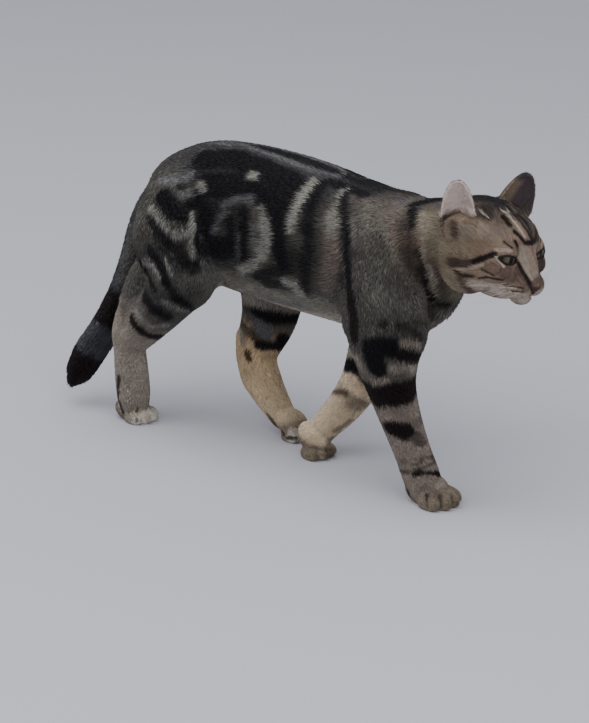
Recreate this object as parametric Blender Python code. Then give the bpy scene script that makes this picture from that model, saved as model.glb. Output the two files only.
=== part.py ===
"""A domestic cat, a brown classic tabby tom, walking with its head low, as a life-size still model.

The cat walks along +X, its left side is +Y and +Z is up. Lengths in the tables are centimetres, which CM
turns into Blender's metres. Every body form is a closed loft or ellipsoid. They are fused into one skin
by a voxel remesh, thinned to facets, and parted with thin cuts where a person would name the parts.
"""

import math

import bmesh
import bpy
from mathutils import Euler, Matrix, Vector
from mathutils.bvhtree import BVHTree

CM = 0.01
GAP = 0.03
FINE_VOXEL = 0.19
COARSE_VOXEL = 0.28
BODY_FACETS = 6000
RING_SIDES = 24
RINGS_A_STEP = 4
ARCH_SIDES = 32
ARCH_LENGTH = 8.0

# The tables count from a point under the belly, and the model's origin is under the middle of its box.
TABLES_FROM = Vector((0.53, 0.0, 0.0))

# Torso from the seat bones to the breast: forward, top, bottom, half width.
TORSO = (
    (-15.3, 20.5, 16.4, 1.9),
    (-14.0, 22.4, 15.0, 3.3),
    (-12.0, 24.2, 14.2, 4.2),
    (-9.0, 25.5, 13.6, 4.7),
    (-6.0, 25.9, 13.2, 4.8),
    (-2.0, 25.9, 13.0, 5.2),
    (2.0, 25.6, 12.9, 5.3),
    (5.5, 25.1, 12.8, 5.2),
    (9.0, 24.8, 12.7, 4.9),
    (11.6, 24.8, 13.3, 4.3),
    (13.5, 23.7, 13.5, 3.1),
)

# Centre lines as forward, left, up, then the half width sideways and the half depth.
NECK = (
    (10.0, 0.0, 19.8, 4.2, 5.2),
    (12.8, 0.0, 20.6, 4.0, 4.42),
    (15.0, 0.0, 21.8, 3.8, 3.35),
    (16.6, 0.0, 22.1, 3.6, 2.95),
    (18.2, 0.0, 22.5, 3.2, 2.6),
)
TAIL = (
    (-13.2, 0.0, 20.9, 2.0, 2.0),
    (-15.4, 0.0, 18.9, 1.8, 1.8),
    (-16.9, 0.0, 16.6, 1.65, 1.65),
    (-17.9, -0.3, 13.6, 1.5, 1.5),
    (-18.8, -0.8, 10.8, 1.45, 1.45),
    (-20.0, -1.6, 7.8, 1.45, 1.45),
    (-21.6, -2.3, 5.0, 1.5, 1.5),
    (-22.5, -2.7, 3.2, 1.3, 1.3),
    (-22.9, -2.9, 2.5, 0.9, 0.9),
)
THIGH_RIGHT = (
    (-11.2, -2.4, 20.6, 2.4, 4.0),
    (-10.4, -3.3, 18.2, 2.7, 4.8),
    (-9.5, -3.9, 15.3, 2.45, 3.85),
    (-10.45, -4.1, 13.0, 2.1, 2.45),
    (-12.2, -3.9, 11.0, 1.75, 2.0),
    (-14.4, -3.6, 8.9, 1.4, 1.75),
    (-15.7, -3.4, 7.6, 1.2, 1.5),
)
TENDON_RIGHT = (
    (-12.4, -3.9, 15.2, 1.3, 1.9),
    (-14.2, -3.9, 12.6, 1.1, 1.6),
    (-15.6, -3.7, 10.4, 0.95, 1.2),
    (-16.2, -3.5, 8.6, 0.95, 1.1),
)
FOOT_RIGHT = (
    (-16.5, -3.5, 9.7, 0.8, 0.9),
    (-16.3, -3.4, 8.3, 1.15, 1.5),
    (-16.15, -3.2, 6.6, 1.2, 1.6),
    (-16.15, -3.0, 4.6, 1.25, 1.7),
    (-16.3, -2.7, 2.8, 1.3, 1.7),
    (-16.5, -2.4, 1.4, 1.35, 1.4),
)
THIGH_LEFT = (
    (-11.0, 2.4, 20.6, 2.4, 4.0),
    (-9.3, 3.3, 18.2, 2.7, 4.7),
    (-7.2, 3.9, 15.2, 2.4, 4.2),
    (-6.6, 4.1, 12.4, 2.0, 3.4),
    (-6.8, 4.1, 10.0, 1.7, 2.85),
    (-7.4, 3.9, 8.0, 1.45, 2.4),
    (-7.9, 3.7, 6.6, 1.25, 2.0),
)
FOOT_LEFT = (
    (-9.3, 3.8, 7.7, 0.8, 0.9),
    (-8.6, 3.7, 6.3, 1.2, 1.5),
    (-7.4, 3.45, 4.8, 1.25, 2.15),
    (-6.1, 3.15, 3.4, 1.25, 1.75),
    (-4.9, 3.0, 2.2, 1.25, 1.35),
    (-4.2, 2.9, 1.5, 1.2, 1.1),
)
FORE_RIGHT = (
    (10.0, -2.9, 21.0, 1.9, 3.2),
    (11.2, -3.6, 18.0, 2.2, 3.7),
    (12.1, -4.0, 15.2, 2.15, 4.2),
    (12.2, -4.0, 12.6, 2.0, 3.2),
    (12.4, -3.6, 10.0, 1.7, 2.35),
    (12.95, -3.0, 7.2, 1.5, 1.9),
    (13.7, -2.4, 4.4, 1.35, 1.7),
    (14.2, -2.0, 2.6, 1.35, 1.75),
    (14.6, -1.8, 1.3, 1.4, 1.6),
)
FORE_LEFT = (
    (9.4, 2.9, 21.0, 1.9, 3.2),
    (9.6, 3.6, 18.0, 2.2, 3.5),
    (8.5, 4.0, 15.0, 2.1, 3.2),
    (6.6, 3.9, 12.0, 1.8, 3.0),
    (5.2, 3.5, 9.4, 1.6, 2.6),
    (4.2, 2.9, 6.7, 1.4, 1.95),
    (2.95, 2.2, 4.4, 1.3, 1.6),
    (1.9, 1.6, 3.0, 1.25, 1.4),
    (1.0, 1.3, 1.8, 1.2, 1.2),
)

# Paws: the middle of the ball on the floor, which way the toes point, how far the ball tips up over the
# toes, and the share of full size.
PAWS = {
    "fore_right": ((15.0, -1.6, 0.0), -4.0, 0.0, 1.1),
    "fore_left": ((0.6, 0.8, 0.0), -4.0, 38.0, 0.92),
    "hind_right": ((-16.6, -2.2, 0.0), 0.0, 0.0, 0.9),
    "hind_left": ((-3.4, 2.9, 0.0), 0.0, 24.0, 0.9),
}
TOES = ((-1.12, 0.75), (-0.4, 1.25), (0.4, 1.25), (1.12, 0.75))
TOE_SIZE = (1.15, 0.52, 0.72)
TOE_RISE = 0.52
BALL_AT = Vector((-0.35, 0.0, 1.05))
BALL_SIZE = (1.75, 1.45, 1.2)

# The head's own frame has +X out along the nose and is level with the eyes.
HEAD_AT = Vector((19.9, 0.0, 22.55))
HEAD_TURN = Euler((math.radians(-4.5), math.radians(16.0), math.radians(-5.0)), "XYZ")
HEAD_SCALE = 1.05

# Head forms in the head's frame: centre and half sizes. A form off the middle has a twin.
HEAD_FORMS = {
    "skull": ((-0.9, 0.0, 0.3), (3.7, 3.6, 2.48)),
    "forehead": ((1.1, 0.0, 0.8), (2.1, 2.4, 2.0)),
    "cheek": ((-0.3, 2.1, -1.45), (2.5, 2.15, 2.5)),
    "jaw": ((0.7, 0.0, -2.2), (2.9, 2.4, 1.7)),
    "muzzle": ((2.7, 0.0, -1.25), (1.75, 1.7, 1.4)),
    "cheekbone": ((2.05, 1.95, -0.85), (1.35, 1.1, 1.05)),
    "whisker_pad": ((3.7, 0.8, -1.76), (0.98, 0.94, 0.92)),
    "chin": ((3.55, 0.0, -2.7), (0.85, 0.92, 0.65)),
    "brow": ((1.85, 1.4, 0.85), (1.05, 1.0, 0.65)),
    "ear_root": ((-1.4, 2.85, 0.7), (1.25, 1.15, 1.15)),
    "nose_tip": ((4.5, 0.0, -1.38), (0.5, 0.6, 0.45)),
    "lids": ((2.0, 1.6, 0.1), (1.2, 1.2, 1.2)),
}
NOSE_BRIDGE = (
    (1.4, 0.0, 1.2, 1.3, 1.1),
    (2.5, 0.0, 0.6, 1.0, 0.95),
    (3.5, 0.0, -0.35, 0.75, 0.75),
    (4.35, 0.0, -1.2, 0.6, 0.55),
)

# Eyes: the ball's middle and radius, which way it looks, and the opening of the lids.
EYE_AT = Vector((2.0, 1.6, 0.1))
EYE_RADIUS = 1.05
EYE_LOOKS = (math.radians(14.0), math.radians(9.0))
LID_SLANT = math.radians(10.0)
OPENING_HALF_WIDTH = 0.76
UPPER_LID = 0.35
LOWER_LID = 0.29
OPENING_STEPS = 10

# Nostrils, and the lines of the mouth as points across and up, in the head's frame.
NOSTRIL_AT = Vector((4.9, 0.27, -1.58))
NOSTRIL_SIZE = (0.3, 0.12, 0.1)
LIP_LINE = ((-1.8, -2.4), (-1.35, -2.66), (-0.85, -2.7), (-0.35, -2.5), (0.0, -2.32))
PHILTRUM = ((0.0, -1.95), (0.0, -2.1), (0.0, -2.26))
GROOVE = 0.055

# Ears: the root's middle, the tip, how far the opening turns to the left of straight ahead, and the half
# width. Each ear is given on its own side.
EARS = {
    "ear_right": (Vector((-1.6, -2.55, 0.1)), Vector((-2.28, -3.68, 4.3)), -45.0, 1.2),
    "ear_left": (Vector((-1.25, 2.66, 0.1)), Vector((-1.7, 3.96, 4.08)), -11.0, 1.84),
}
EAR_CUP = 1.3
EAR_THICK = 0.15
EAR_ROWS = 9
EAR_COLUMNS = 11

# Flat cuts: the node cut off, a point on the cut, which way the node lies, and the cutter's half width
# and length. They are made in this order, from the tips towards the torso.
CUTS = (
    ("head", (17.0, 0.0, 21.8), (0.93, 0.0, 0.36), 9.0, 14.0),
    ("neck", (12.8, 0.0, 20.3), (0.93, 0.0, 0.37), 9.0, 14.0),
    ("foreleg_right_paw", (13.9, -2.2, 3.3), (0.25, 0.15, -0.95), 5.0, 6.0),
    ("foreleg_right_lower", (12.2, -3.8, 10.6), (0.1, 0.1, -0.99), 3.9, 11.0),
    ("foreleg_left_lower", (6.0, 3.8, 10.4), (-0.45, -0.15, -0.88), 3.7, 10.0),
    ("hindleg_right_paw", (-16.2, -2.8, 2.9), (0.0, 0.0, -1.0), 5.0, 6.0),
    ("hindleg_right_foot", (-15.4, -3.5, 8.6), (-0.6, 0.0, -0.8), 6.0, 9.0),
    ("hindleg_right_shank", (-10.4, -4.0, 12.2), (-0.72, 0.0, -0.69), 6.0, 9.0),
    ("hindleg_left_paw", (-5.0, 2.9, 2.3), (0.8, -0.1, -0.6), 4.0, 6.0),
    ("hindleg_left_foot", (-8.0, 3.7, 6.7), (0.0, 0.0, -1.0), 5.0, 8.0),
    ("hindleg_left_shank", (-6.6, 4.15, 11.6), (0.0, 0.0, -1.0), 5.0, 8.0),
)

# Round cuts, with the same values and made first.
ROUND_CUTS = (
    ("foreleg_left_paw", (2.2, 1.8, 3.3), (-0.13, -0.23, -0.96), 2.45, 6.0),
    ("tail_tip", (-20.7, -2.0, 6.6), (-0.47, -0.18, -0.865), 2.1, 8.0),
    ("tail_middle", (-18.1, -0.6, 12.4), (-0.4, -0.22, -0.89), 2.1, 8.0),
    ("tail_base", (-16.2, 0.0, 17.4), (-0.33, -0.08, -0.94), 2.4, 7.0),
)

# Arched cuts at hip and shoulder: the middle forward and up, the arch's half length and half height,
# and how far from the middle of the body it starts.
ARCHES = (
    ("foreleg_right_upper", (11.8, 12.5), (4.9, 8.9), -1.7),
    ("foreleg_left_upper", (8.1, 12.0), (5.2, 9.4), 1.7),
    ("hindleg_right_thigh", (-9.9, 13.4), (5.9, 9.2), -1.4),
    ("hindleg_left_thigh", (-8.5, 13.4), (6.2, 9.2), 1.4),
)

# Colours of the coat and eyes, in linear red, green and blue, with roughness.
COLOURS = {
    "torso": ((0.060, 0.052, 0.042), 0.9),
    "neck": ((0.110, 0.094, 0.072), 0.9),
    "head": ((0.150, 0.120, 0.095), 0.9),
    "ear": ((0.130, 0.108, 0.095), 0.9),
    "eye": ((0.180, 0.130, 0.045), 0.15),
    "tail": ((0.040, 0.037, 0.034), 0.9),
    "upper": ((0.090, 0.078, 0.062), 0.9),
    "thigh": ((0.070, 0.062, 0.050), 0.9),
    "lower": ((0.150, 0.125, 0.098), 0.9),
    "shank": ((0.120, 0.102, 0.080), 0.9),
    "foot": ((0.210, 0.175, 0.135), 0.9),
    "paw": ((0.200, 0.170, 0.130), 0.9),
}


def spline(a, b, c, d, t):
    """One number of a Catmull-Rom spline between b and c."""
    return 0.5 * (2 * b + (c - a) * t + (2 * a - 5 * b + 4 * c - d) * t * t + (3 * b - 3 * c + d - a) * t**3)


def smooth_stations(stations, steps):
    """The stations with smooth ones set between them."""
    ends = [stations[0], *stations, stations[-1]]
    found = []
    for i in range(len(stations) - 1):
        window = ends[i : i + 4]
        for step in range(steps):
            found.append(tuple(spline(*column, step / steps) for column in zip(*window)))
    found.append(tuple(stations[-1]))
    return found


def rounded_ends(rings):
    """Rings with three smaller ones past each end, so that a form ends round."""

    def past(ring, away):
        found = []
        for share in (0.55, 0.85, 0.98):
            narrow = math.sqrt(1 - share * share)
            centre = Vector(ring[:3]) + away.normalized() * share * min(ring[3:])
            found.append((*centre, ring[3] * narrow, ring[4] * narrow))
        return found

    first, second, last_but, last = (Vector(rings[i][:3]) for i in (0, 1, -2, -1))
    return [*reversed(past(rings[0], first - second)), *rings, *past(rings[-1], last - last_but)]


def as_mesh(bm):
    """The bmesh as mesh data, with its faces out."""
    bmesh.ops.recalc_face_normals(bm, faces=bm.faces)
    mesh = bpy.data.meshes.new("form")
    bm.to_mesh(mesh)
    bm.free()
    return mesh


def loft(stations, place=Matrix.Identity(4)):
    """A closed tube of elliptic rings along the stations."""
    bm = bmesh.new()
    rings = rounded_ends(smooth_stations(stations, RINGS_A_STEP))
    centres = [Vector(ring[:3]) for ring in rings]
    before = None
    for i, ring in enumerate(rings):
        along = (centres[min(i + 1, len(rings) - 1)] - centres[max(i - 1, 0)]).normalized()
        side = Vector((0, 1, 0))
        side = (side - along * side.dot(along)).normalized()
        turn = Matrix((side, along.cross(side), along)).transposed().to_4x4()
        matrix = place @ Matrix.Translation(centres[i]) @ turn @ Matrix.Diagonal((ring[3], ring[4], 1, 1))
        circle = bmesh.ops.create_circle(bm, segments=RING_SIDES, radius=1, matrix=matrix)["verts"]
        edges = list({edge for vert in circle for edge in vert.link_edges})
        if before:
            bmesh.ops.bridge_loops(bm, edges=before + edges)
        else:
            bmesh.ops.edgeloop_fill(bm, edges=edges)
        before = edges
    bmesh.ops.edgeloop_fill(bm, edges=before)
    return as_mesh(bm)


def ellipsoid(centre, radii, place=Matrix.Identity(4), turn=Matrix.Identity(4), sides=24):
    """A ball with these half sizes."""
    bm = bmesh.new()
    matrix = place @ Matrix.Translation(centre) @ turn @ Matrix.Diagonal((*radii, 1))
    bmesh.ops.create_uvsphere(bm, u_segments=sides, v_segments=sides * 2 // 3, radius=1, matrix=matrix)
    return as_mesh(bm)


def placed(name, mesh):
    """The mesh as an object at the origin."""
    made = bpy.data.objects.new(name, mesh)
    bpy.context.scene.collection.objects.link(made)
    return made


def torso_rings():
    """The torso's stations as a centre line with its half sizes."""
    return [(x, 0.0, (top + bottom) / 2, wide, (top - bottom) / 2) for x, top, bottom, wide in TORSO]


def paw_forms(where, heading, tip, size):
    """The ball of the foot and four toes in an arc before it."""
    place = Matrix.Translation(where) @ Matrix.Rotation(math.radians(heading), 4, "Z") @ Matrix.Scale(size, 4)
    knuckles = Matrix.Translation((1.0, 0.0, 0.4))
    tipped = place @ knuckles @ Matrix.Rotation(math.radians(tip), 4, "Y") @ knuckles.inverted()
    forms = [ellipsoid(BALL_AT, BALL_SIZE, tipped)]
    for across, forward in TOES:
        splay = Matrix.Rotation(math.radians(across * 8), 4, "Z")
        forms.append(ellipsoid((forward, across, TOE_RISE), TOE_SIZE, place, splay))
    return forms


def head_place():
    """The head's frame in the cat's."""
    return Matrix.Translation(HEAD_AT) @ HEAD_TURN.to_matrix().to_4x4() @ Matrix.Scale(HEAD_SCALE, 4)


def head_forms():
    """The skull, cheeks, muzzle and the rest, in twins where they are off the middle."""
    forms = [loft(NOSE_BRIDGE, head_place())]
    for centre, radii in HEAD_FORMS.values():
        forms.append(ellipsoid(centre, radii, head_place()))
        if centre[1]:
            forms.append(ellipsoid((centre[0], -centre[1], centre[2]), radii, head_place()))
    return forms


def evaluated(obj):
    """Puts the modifiers' result in the object's own mesh."""
    graph = bpy.context.evaluated_depsgraph_get()
    mesh = bpy.data.meshes.new_from_object(obj.evaluated_get(graph))
    obj.modifiers.clear()
    obj.data = mesh
    return obj


def joined(name, meshes):
    """One object of all these meshes."""
    bm = bmesh.new()
    for mesh in meshes:
        bm.from_mesh(mesh)
    return placed(name, as_mesh(bm))


def fused(name, meshes, voxel, smoothing):
    """The forms as one smooth closed skin."""
    made = joined(name, meshes)
    remesh = made.modifiers.new("fuse", "REMESH")
    remesh.mode = "VOXEL"
    remesh.voxel_size = voxel
    smooth = made.modifiers.new("smooth", "SMOOTH")
    smooth.factor = 0.5
    smooth.iterations = smoothing
    return evaluated(made)


def boolean(obj, operation, other):
    """The object after one Boolean with the other, which is then removed."""
    modifier = obj.modifiers.new("boolean", "BOOLEAN")
    modifier.operation = operation
    modifier.object = other
    modifier.solver = "EXACT"
    bpy.context.view_layer.update()
    evaluated(obj)
    bpy.data.objects.remove(other)
    return obj


def largest_shell(obj):
    """Keeps only the largest closed surface of the object's mesh."""
    bm = bmesh.new()
    bm.from_mesh(obj.data)
    left = set(bm.verts)
    shells = []
    while left:
        shell, waiting = set(), [left.pop()]
        while waiting:
            vert = waiting.pop()
            shell.add(vert)
            for edge in vert.link_edges:
                other = edge.other_vert(vert)
                if other in left:
                    left.remove(other)
                    waiting.append(other)
        shells.append(shell)
    keep = max(shells, key=len)
    bmesh.ops.delete(bm, geom=[vert for vert in bm.verts if vert not in keep], context="VERTS")
    bm.to_mesh(obj.data)
    bm.free()
    return obj


def thinned(obj, facets):
    """The skin with about this many triangles, most of them on the head and feet."""
    group = obj.vertex_groups.new(name="detail")
    for vert in obj.data.vertices:
        place = vert.co
        head = min(1.0, max(0.0, (place.x - 17.5) / 2.5))
        feet = min(1.0, max(0.0, (2.6 - place.z) / 1.5))
        group.add([vert.index], 0.12 + 0.88 * max(0.85 * head, 0.6 * feet), "REPLACE")
    triangles = sum(len(face.vertices) - 2 for face in obj.data.polygons)
    decimate = obj.modifiers.new("thin", "DECIMATE")
    decimate.ratio = facets / triangles
    decimate.vertex_group = "detail"
    decimate.invert_vertex_group = True
    decimate.vertex_group_factor = 1.0
    evaluated(obj)
    obj.vertex_groups.clear()
    return obj


def standing(obj):
    """The skin with flat soles at the floor."""
    bm = bmesh.new()
    bm.from_mesh(obj.data)
    geometry = [*bm.verts, *bm.edges, *bm.faces]
    cut = bmesh.ops.bisect_plane(
        bm, geom=geometry, dist=1e-4, plane_co=(0, 0, 0), plane_no=(0, 0, -1), clear_outer=True
    )["geom_cut"]
    bmesh.ops.holes_fill(bm, edges=[part for part in cut if isinstance(part, bmesh.types.BMEdge)], sides=0)
    bmesh.ops.triangulate(bm, faces=[face for face in bm.faces if len(face.verts) > 4])
    obj.data = as_mesh(bm)
    return obj


def block(point, direction, half_width, length, grown=0.0):
    """A box that starts at the point and runs in the direction, larger all round by the growth."""
    toward = Vector(direction).normalized()
    turn = toward.to_track_quat("Z", "Y").to_matrix().to_4x4()
    size = Matrix.Diagonal((2 * (half_width + grown), 2 * (half_width + grown), length + 2 * grown, 1))
    place = Matrix.Translation(Vector(point) + toward * length / 2)
    bm = bmesh.new()
    bmesh.ops.create_cube(bm, size=1, matrix=place @ turn @ size)
    return placed("cutter", as_mesh(bm))


def rod(point, direction, radius, length, grown=0.0):
    """A round bar that starts at the point and runs in the direction, larger all round by the growth."""
    toward = Vector(direction).normalized()
    turn = toward.to_track_quat("Z", "Y").to_matrix().to_4x4()
    size = Matrix.Diagonal((radius + grown, radius + grown, length + 2 * grown, 1))
    place = Matrix.Translation(Vector(point) + toward * length / 2)
    bm = bmesh.new()
    bmesh.ops.create_cone(
        bm, cap_ends=True, segments=ARCH_SIDES, radius1=1, radius2=1, depth=1, matrix=place @ turn @ size
    )
    return placed("cutter", as_mesh(bm))


def arch(centre, radii, start, grown=0.0):
    """An elliptic cylinder from the start outwards across the body, larger all round by the growth."""
    side = math.copysign(1, start)
    middle = (centre[0], start + side * ARCH_LENGTH / 2, centre[1])
    size = Matrix.Diagonal((radii[0] + grown, radii[1] + grown, ARCH_LENGTH + 2 * grown, 1))
    place = Matrix.Translation(middle) @ Matrix.Rotation(math.radians(90), 4, "X")
    bm = bmesh.new()
    bmesh.ops.create_cone(
        bm, cap_ends=True, segments=ARCH_SIDES, radius1=1, radius2=1, depth=1, matrix=place @ size
    )
    return placed("cutter", as_mesh(bm))


def cut_off(rest, name, cutter, *shape):
    """Cuts the named node from the rest, and leaves a thin gap between them."""
    node = placed(name, rest.data.copy())
    boolean(node, "INTERSECT", cutter(*shape))
    boolean(rest, "DIFFERENCE", cutter(*shape, GAP))
    largest_shell(rest)
    return largest_shell(node)


def eye_place(side):
    """The eye's frame in the cat's: +X is the way it looks."""
    turn = Euler((0.0, -EYE_LOOKS[1], side * EYE_LOOKS[0]), "XYZ").to_matrix().to_4x4()
    slant = Matrix.Rotation(side * LID_SLANT, 4, "X")
    return head_place() @ Matrix.Translation((EYE_AT.x, side * EYE_AT.y, EYE_AT.z)) @ turn @ slant


def lid_opening(side):
    """A prism of the almond between the lids, from the middle of the eye outwards."""
    bm = bmesh.new()
    outline = []
    for i in range(2 * OPENING_STEPS):
        turn = math.pi * i / OPENING_STEPS
        height = UPPER_LID if turn < math.pi else LOWER_LID
        rise = math.copysign(abs(math.sin(turn)) ** 1.2, math.sin(turn)) * height
        outline.append(bm.verts.new((0.3, math.cos(turn) * OPENING_HALF_WIDTH, rise)))
    face = bm.faces.new(outline)
    outward = bmesh.ops.extrude_face_region(bm, geom=[face])["geom"]
    bmesh.ops.translate(bm, vec=(2.0, 0, 0), verts=[v for v in outward if isinstance(v, bmesh.types.BMVert)])
    bmesh.ops.transform(bm, matrix=eye_place(side), verts=bm.verts)
    return placed("opening", as_mesh(bm))


def on_face(head, points):
    """Points across and up, carried back onto the front of the head."""
    surface = BVHTree.FromPolygons(
        [vert.co for vert in head.data.vertices], [face.vertices[:] for face in head.data.polygons]
    )
    inward = head_place().to_3x3() @ Vector((-1, 0, 0))
    flat = smooth_stations([(*point, 0, 0, 0) for point in points], 3)
    return [surface.ray_cast(head_place() @ Vector((8.0, across, up)), inward)[0] for across, up, *_ in flat]


def groove(points):
    """A thin cord through the points, deeper into the head than it is wide."""
    bm = bmesh.new()
    forward = head_place().to_3x3() @ Vector((1, 0, 0))
    before = None
    for i, centre in enumerate(points):
        along = (points[min(i + 1, len(points) - 1)] - points[max(i - 1, 0)]).normalized()
        side = (forward - along * forward.dot(along)).normalized()
        turn = Matrix((side, along.cross(side), along)).transposed().to_4x4()
        matrix = Matrix.Translation(centre) @ turn @ Matrix.Diagonal((2 * GROOVE, GROOVE, 1, 1))
        circle = bmesh.ops.create_circle(bm, segments=6, radius=1, matrix=matrix)["verts"]
        edges = list({edge for vert in circle for edge in vert.link_edges})
        if before:
            bmesh.ops.bridge_loops(bm, edges=before + edges)
        else:
            bmesh.ops.edgeloop_fill(bm, edges=edges)
        before = edges
    bmesh.ops.edgeloop_fill(bm, edges=before)
    return as_mesh(bm)


def cleaned(obj):
    """Without the slivers that cuts leave."""
    bm = bmesh.new()
    bm.from_mesh(obj.data)
    bmesh.ops.dissolve_degenerate(bm, dist=0.002, edges=bm.edges)
    bmesh.ops.triangulate(bm, faces=bm.faces)
    obj.data = as_mesh(bm)
    return obj


def carve_head(head):
    """Cuts the eye sockets, the openings of the lids, the nostrils and the mouth's line."""
    for side in (-1, 1):
        centre = (EYE_AT.x, side * EYE_AT.y, EYE_AT.z)
        socket = ellipsoid(centre, [EYE_RADIUS + GAP] * 3, head_place(), sides=18)
        boolean(head, "DIFFERENCE", placed("socket", socket))
        boolean(head, "DIFFERENCE", lid_opening(side))
        middle = (NOSTRIL_AT.x, side * NOSTRIL_AT.y, NOSTRIL_AT.z)
        nostril = ellipsoid(middle, NOSTRIL_SIZE, head_place(), sides=12)
        boolean(head, "DIFFERENCE", placed("nostril", nostril))
    lips = [*LIP_LINE, *((-across, up) for across, up in reversed(LIP_LINE[:-1]))]
    cords = [groove(on_face(head, lips)), groove(on_face(head, PHILTRUM))]
    for cord in cords:
        boolean(head, "DIFFERENCE", placed("cord", cord))
    return largest_shell(head)


def ear_surface(up, across, height, half_width):
    """A point of the ear's back: up its height, and across it from -1 to 1."""
    width = half_width * math.sqrt(1 - up**2.3) * (1 - 0.35 * max(0.0, 1 - up / 0.3) ** 2)
    wrap = math.radians(88 - 30 * up)
    cup = EAR_CUP * (1 - up) ** 0.6
    swing = across * wrap
    back = cup * (math.cos(swing) - math.cos(wrap)) / (1 - math.cos(wrap))
    return Vector((-back, width * math.sin(swing) / math.sin(wrap), up * height))


def ear_mesh(root, tip, turned, half_width):
    """A thin cupped shell, its root sunk in the head."""
    lean = (tip - root).normalized()
    opening = Vector((math.cos(math.radians(turned)), math.sin(math.radians(turned)), 0.0))
    opening = (opening - lean * opening.dot(lean)).normalized()
    turn = Matrix((opening, lean.cross(opening), lean)).transposed().to_4x4()
    bm = bmesh.new()
    grid = bmesh.ops.create_grid(bm, x_segments=EAR_COLUMNS, y_segments=EAR_ROWS, size=1)["verts"]
    for vert in grid:
        vert.co = ear_surface((vert.co.y + 1) / 2 * 0.995, vert.co.x, (tip - root).length, half_width)
    bmesh.ops.recalc_face_normals(bm, faces=bm.faces)
    bmesh.ops.solidify(bm, geom=bm.faces[:], thickness=EAR_THICK)
    bmesh.ops.transform(bm, matrix=head_place() @ Matrix.Translation(root) @ turn, verts=bm.verts)
    return as_mesh(bm)


def make_ear(name, head):
    """The ear outside the head, with the gap that touching nodes keep."""
    ear = placed(name, ear_mesh(*EARS[name]))
    bm = bmesh.new()
    bm.from_mesh(head.data)
    bm.normal_update()
    for vert in bm.verts:
        vert.co += vert.normal * GAP
    return largest_shell(boolean(ear, "DIFFERENCE", placed("grown", as_mesh(bm))))


def make_eye(name, side):
    """The eyeball in its socket."""
    centre = (EYE_AT.x, side * EYE_AT.y, EYE_AT.z)
    return placed(name, ellipsoid(centre, [EYE_RADIUS] * 3, head_place(), sides=18))


def finish(obj):
    """The node at its real size and place, with its own material."""
    bm = bmesh.new()
    bm.from_mesh(obj.data)
    bmesh.ops.translate(bm, vec=-TABLES_FROM, verts=bm.verts)
    bmesh.ops.scale(bm, vec=(CM, CM, CM), verts=bm.verts)
    bmesh.ops.triangulate(bm, faces=bm.faces)
    bm.to_mesh(obj.data)
    bm.free()
    obj.data.shade_smooth()
    obj.data.set_sharp_from_angle(angle=math.radians(50))
    kind = next(kind for kind in COLOURS if kind in obj.name)
    colour, rough = COLOURS[kind]
    material = bpy.data.materials.new(obj.name)
    material.use_nodes = True
    shader = material.node_tree.nodes["Principled BSDF"]
    shader.inputs["Base Color"].default_value = (*colour, 1)
    shader.inputs["Roughness"].default_value = rough
    obj.data.materials.clear()
    obj.data.materials.append(material)


def main():
    """Fuses the forms, parts them and finishes each node."""
    for old in list(bpy.data.objects):
        bpy.data.objects.remove(old)
    hind = (THIGH_RIGHT, TENDON_RIGHT, FOOT_RIGHT, THIGH_LEFT, FOOT_LEFT)
    lines = (NECK, TAIL, *hind, FORE_RIGHT, FORE_LEFT)
    body = fused("body", [loft(torso_rings()), *(loft(line) for line in lines)], COARSE_VOXEL, 10)
    paws = [form for paw in PAWS.values() for form in paw_forms(*paw)]
    torso = fused("torso", [body.data, *head_forms(), *paws], FINE_VOXEL, 4)
    bpy.data.objects.remove(body)
    standing(thinned(torso, BODY_FACETS))
    nodes = [cut_off(torso, name, rod, *shape) for name, *shape in ROUND_CUTS]
    nodes += [cut_off(torso, name, block, *shape) for name, *shape in CUTS]
    nodes += [torso, *(cut_off(torso, name, arch, *shape) for name, *shape in ARCHES)]
    head = next(node for node in nodes if node.name == "head")
    carve_head(head)
    nodes += [make_ear(name, head) for name in EARS]
    nodes += [make_eye("eye_right", -1), make_eye("eye_left", 1)]
    for node in nodes:
        finish(cleaned(node))


main()
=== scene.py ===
"""A walking brown classic tabby cat, dressed with one skin, short fur, eyes, nose and whiskers.

Lengths in the tables are centimetres in the cat's own frame: +X is ahead, +Y is its left, +Z is up.
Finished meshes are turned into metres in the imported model's frame.
"""
import math

import bmesh
import bpy
import numpy as np
from mathutils import Euler, Matrix, Vector
from mathutils.bvhtree import BVHTree


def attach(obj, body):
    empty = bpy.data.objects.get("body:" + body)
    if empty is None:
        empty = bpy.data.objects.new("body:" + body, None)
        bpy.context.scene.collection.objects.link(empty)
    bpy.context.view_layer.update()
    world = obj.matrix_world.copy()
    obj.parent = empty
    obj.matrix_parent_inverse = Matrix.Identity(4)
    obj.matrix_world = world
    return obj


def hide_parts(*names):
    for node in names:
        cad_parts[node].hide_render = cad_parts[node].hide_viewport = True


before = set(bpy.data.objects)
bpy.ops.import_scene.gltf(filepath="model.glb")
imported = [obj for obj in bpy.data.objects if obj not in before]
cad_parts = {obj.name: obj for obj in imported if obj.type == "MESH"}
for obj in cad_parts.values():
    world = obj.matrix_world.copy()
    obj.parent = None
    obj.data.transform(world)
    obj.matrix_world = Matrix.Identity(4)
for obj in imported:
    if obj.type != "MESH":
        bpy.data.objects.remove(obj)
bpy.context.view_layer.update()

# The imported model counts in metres, from a point this far ahead of the tables' zero.
TABLES_FROM = Vector((0.53, 0.0, 0.0))
TO_MODEL = Matrix.Scale(0.01, 4) @ Matrix.Translation(-TABLES_FROM)

# Sides of a loft's rings, the sizes that the forms are fused at, and the skin's triangles once it is thinned.
RING_SIDES = 24
BODY_VOXEL = 0.28
SKIN_VOXEL = 0.115
SKIN_TRIANGLES = 142000

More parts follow.
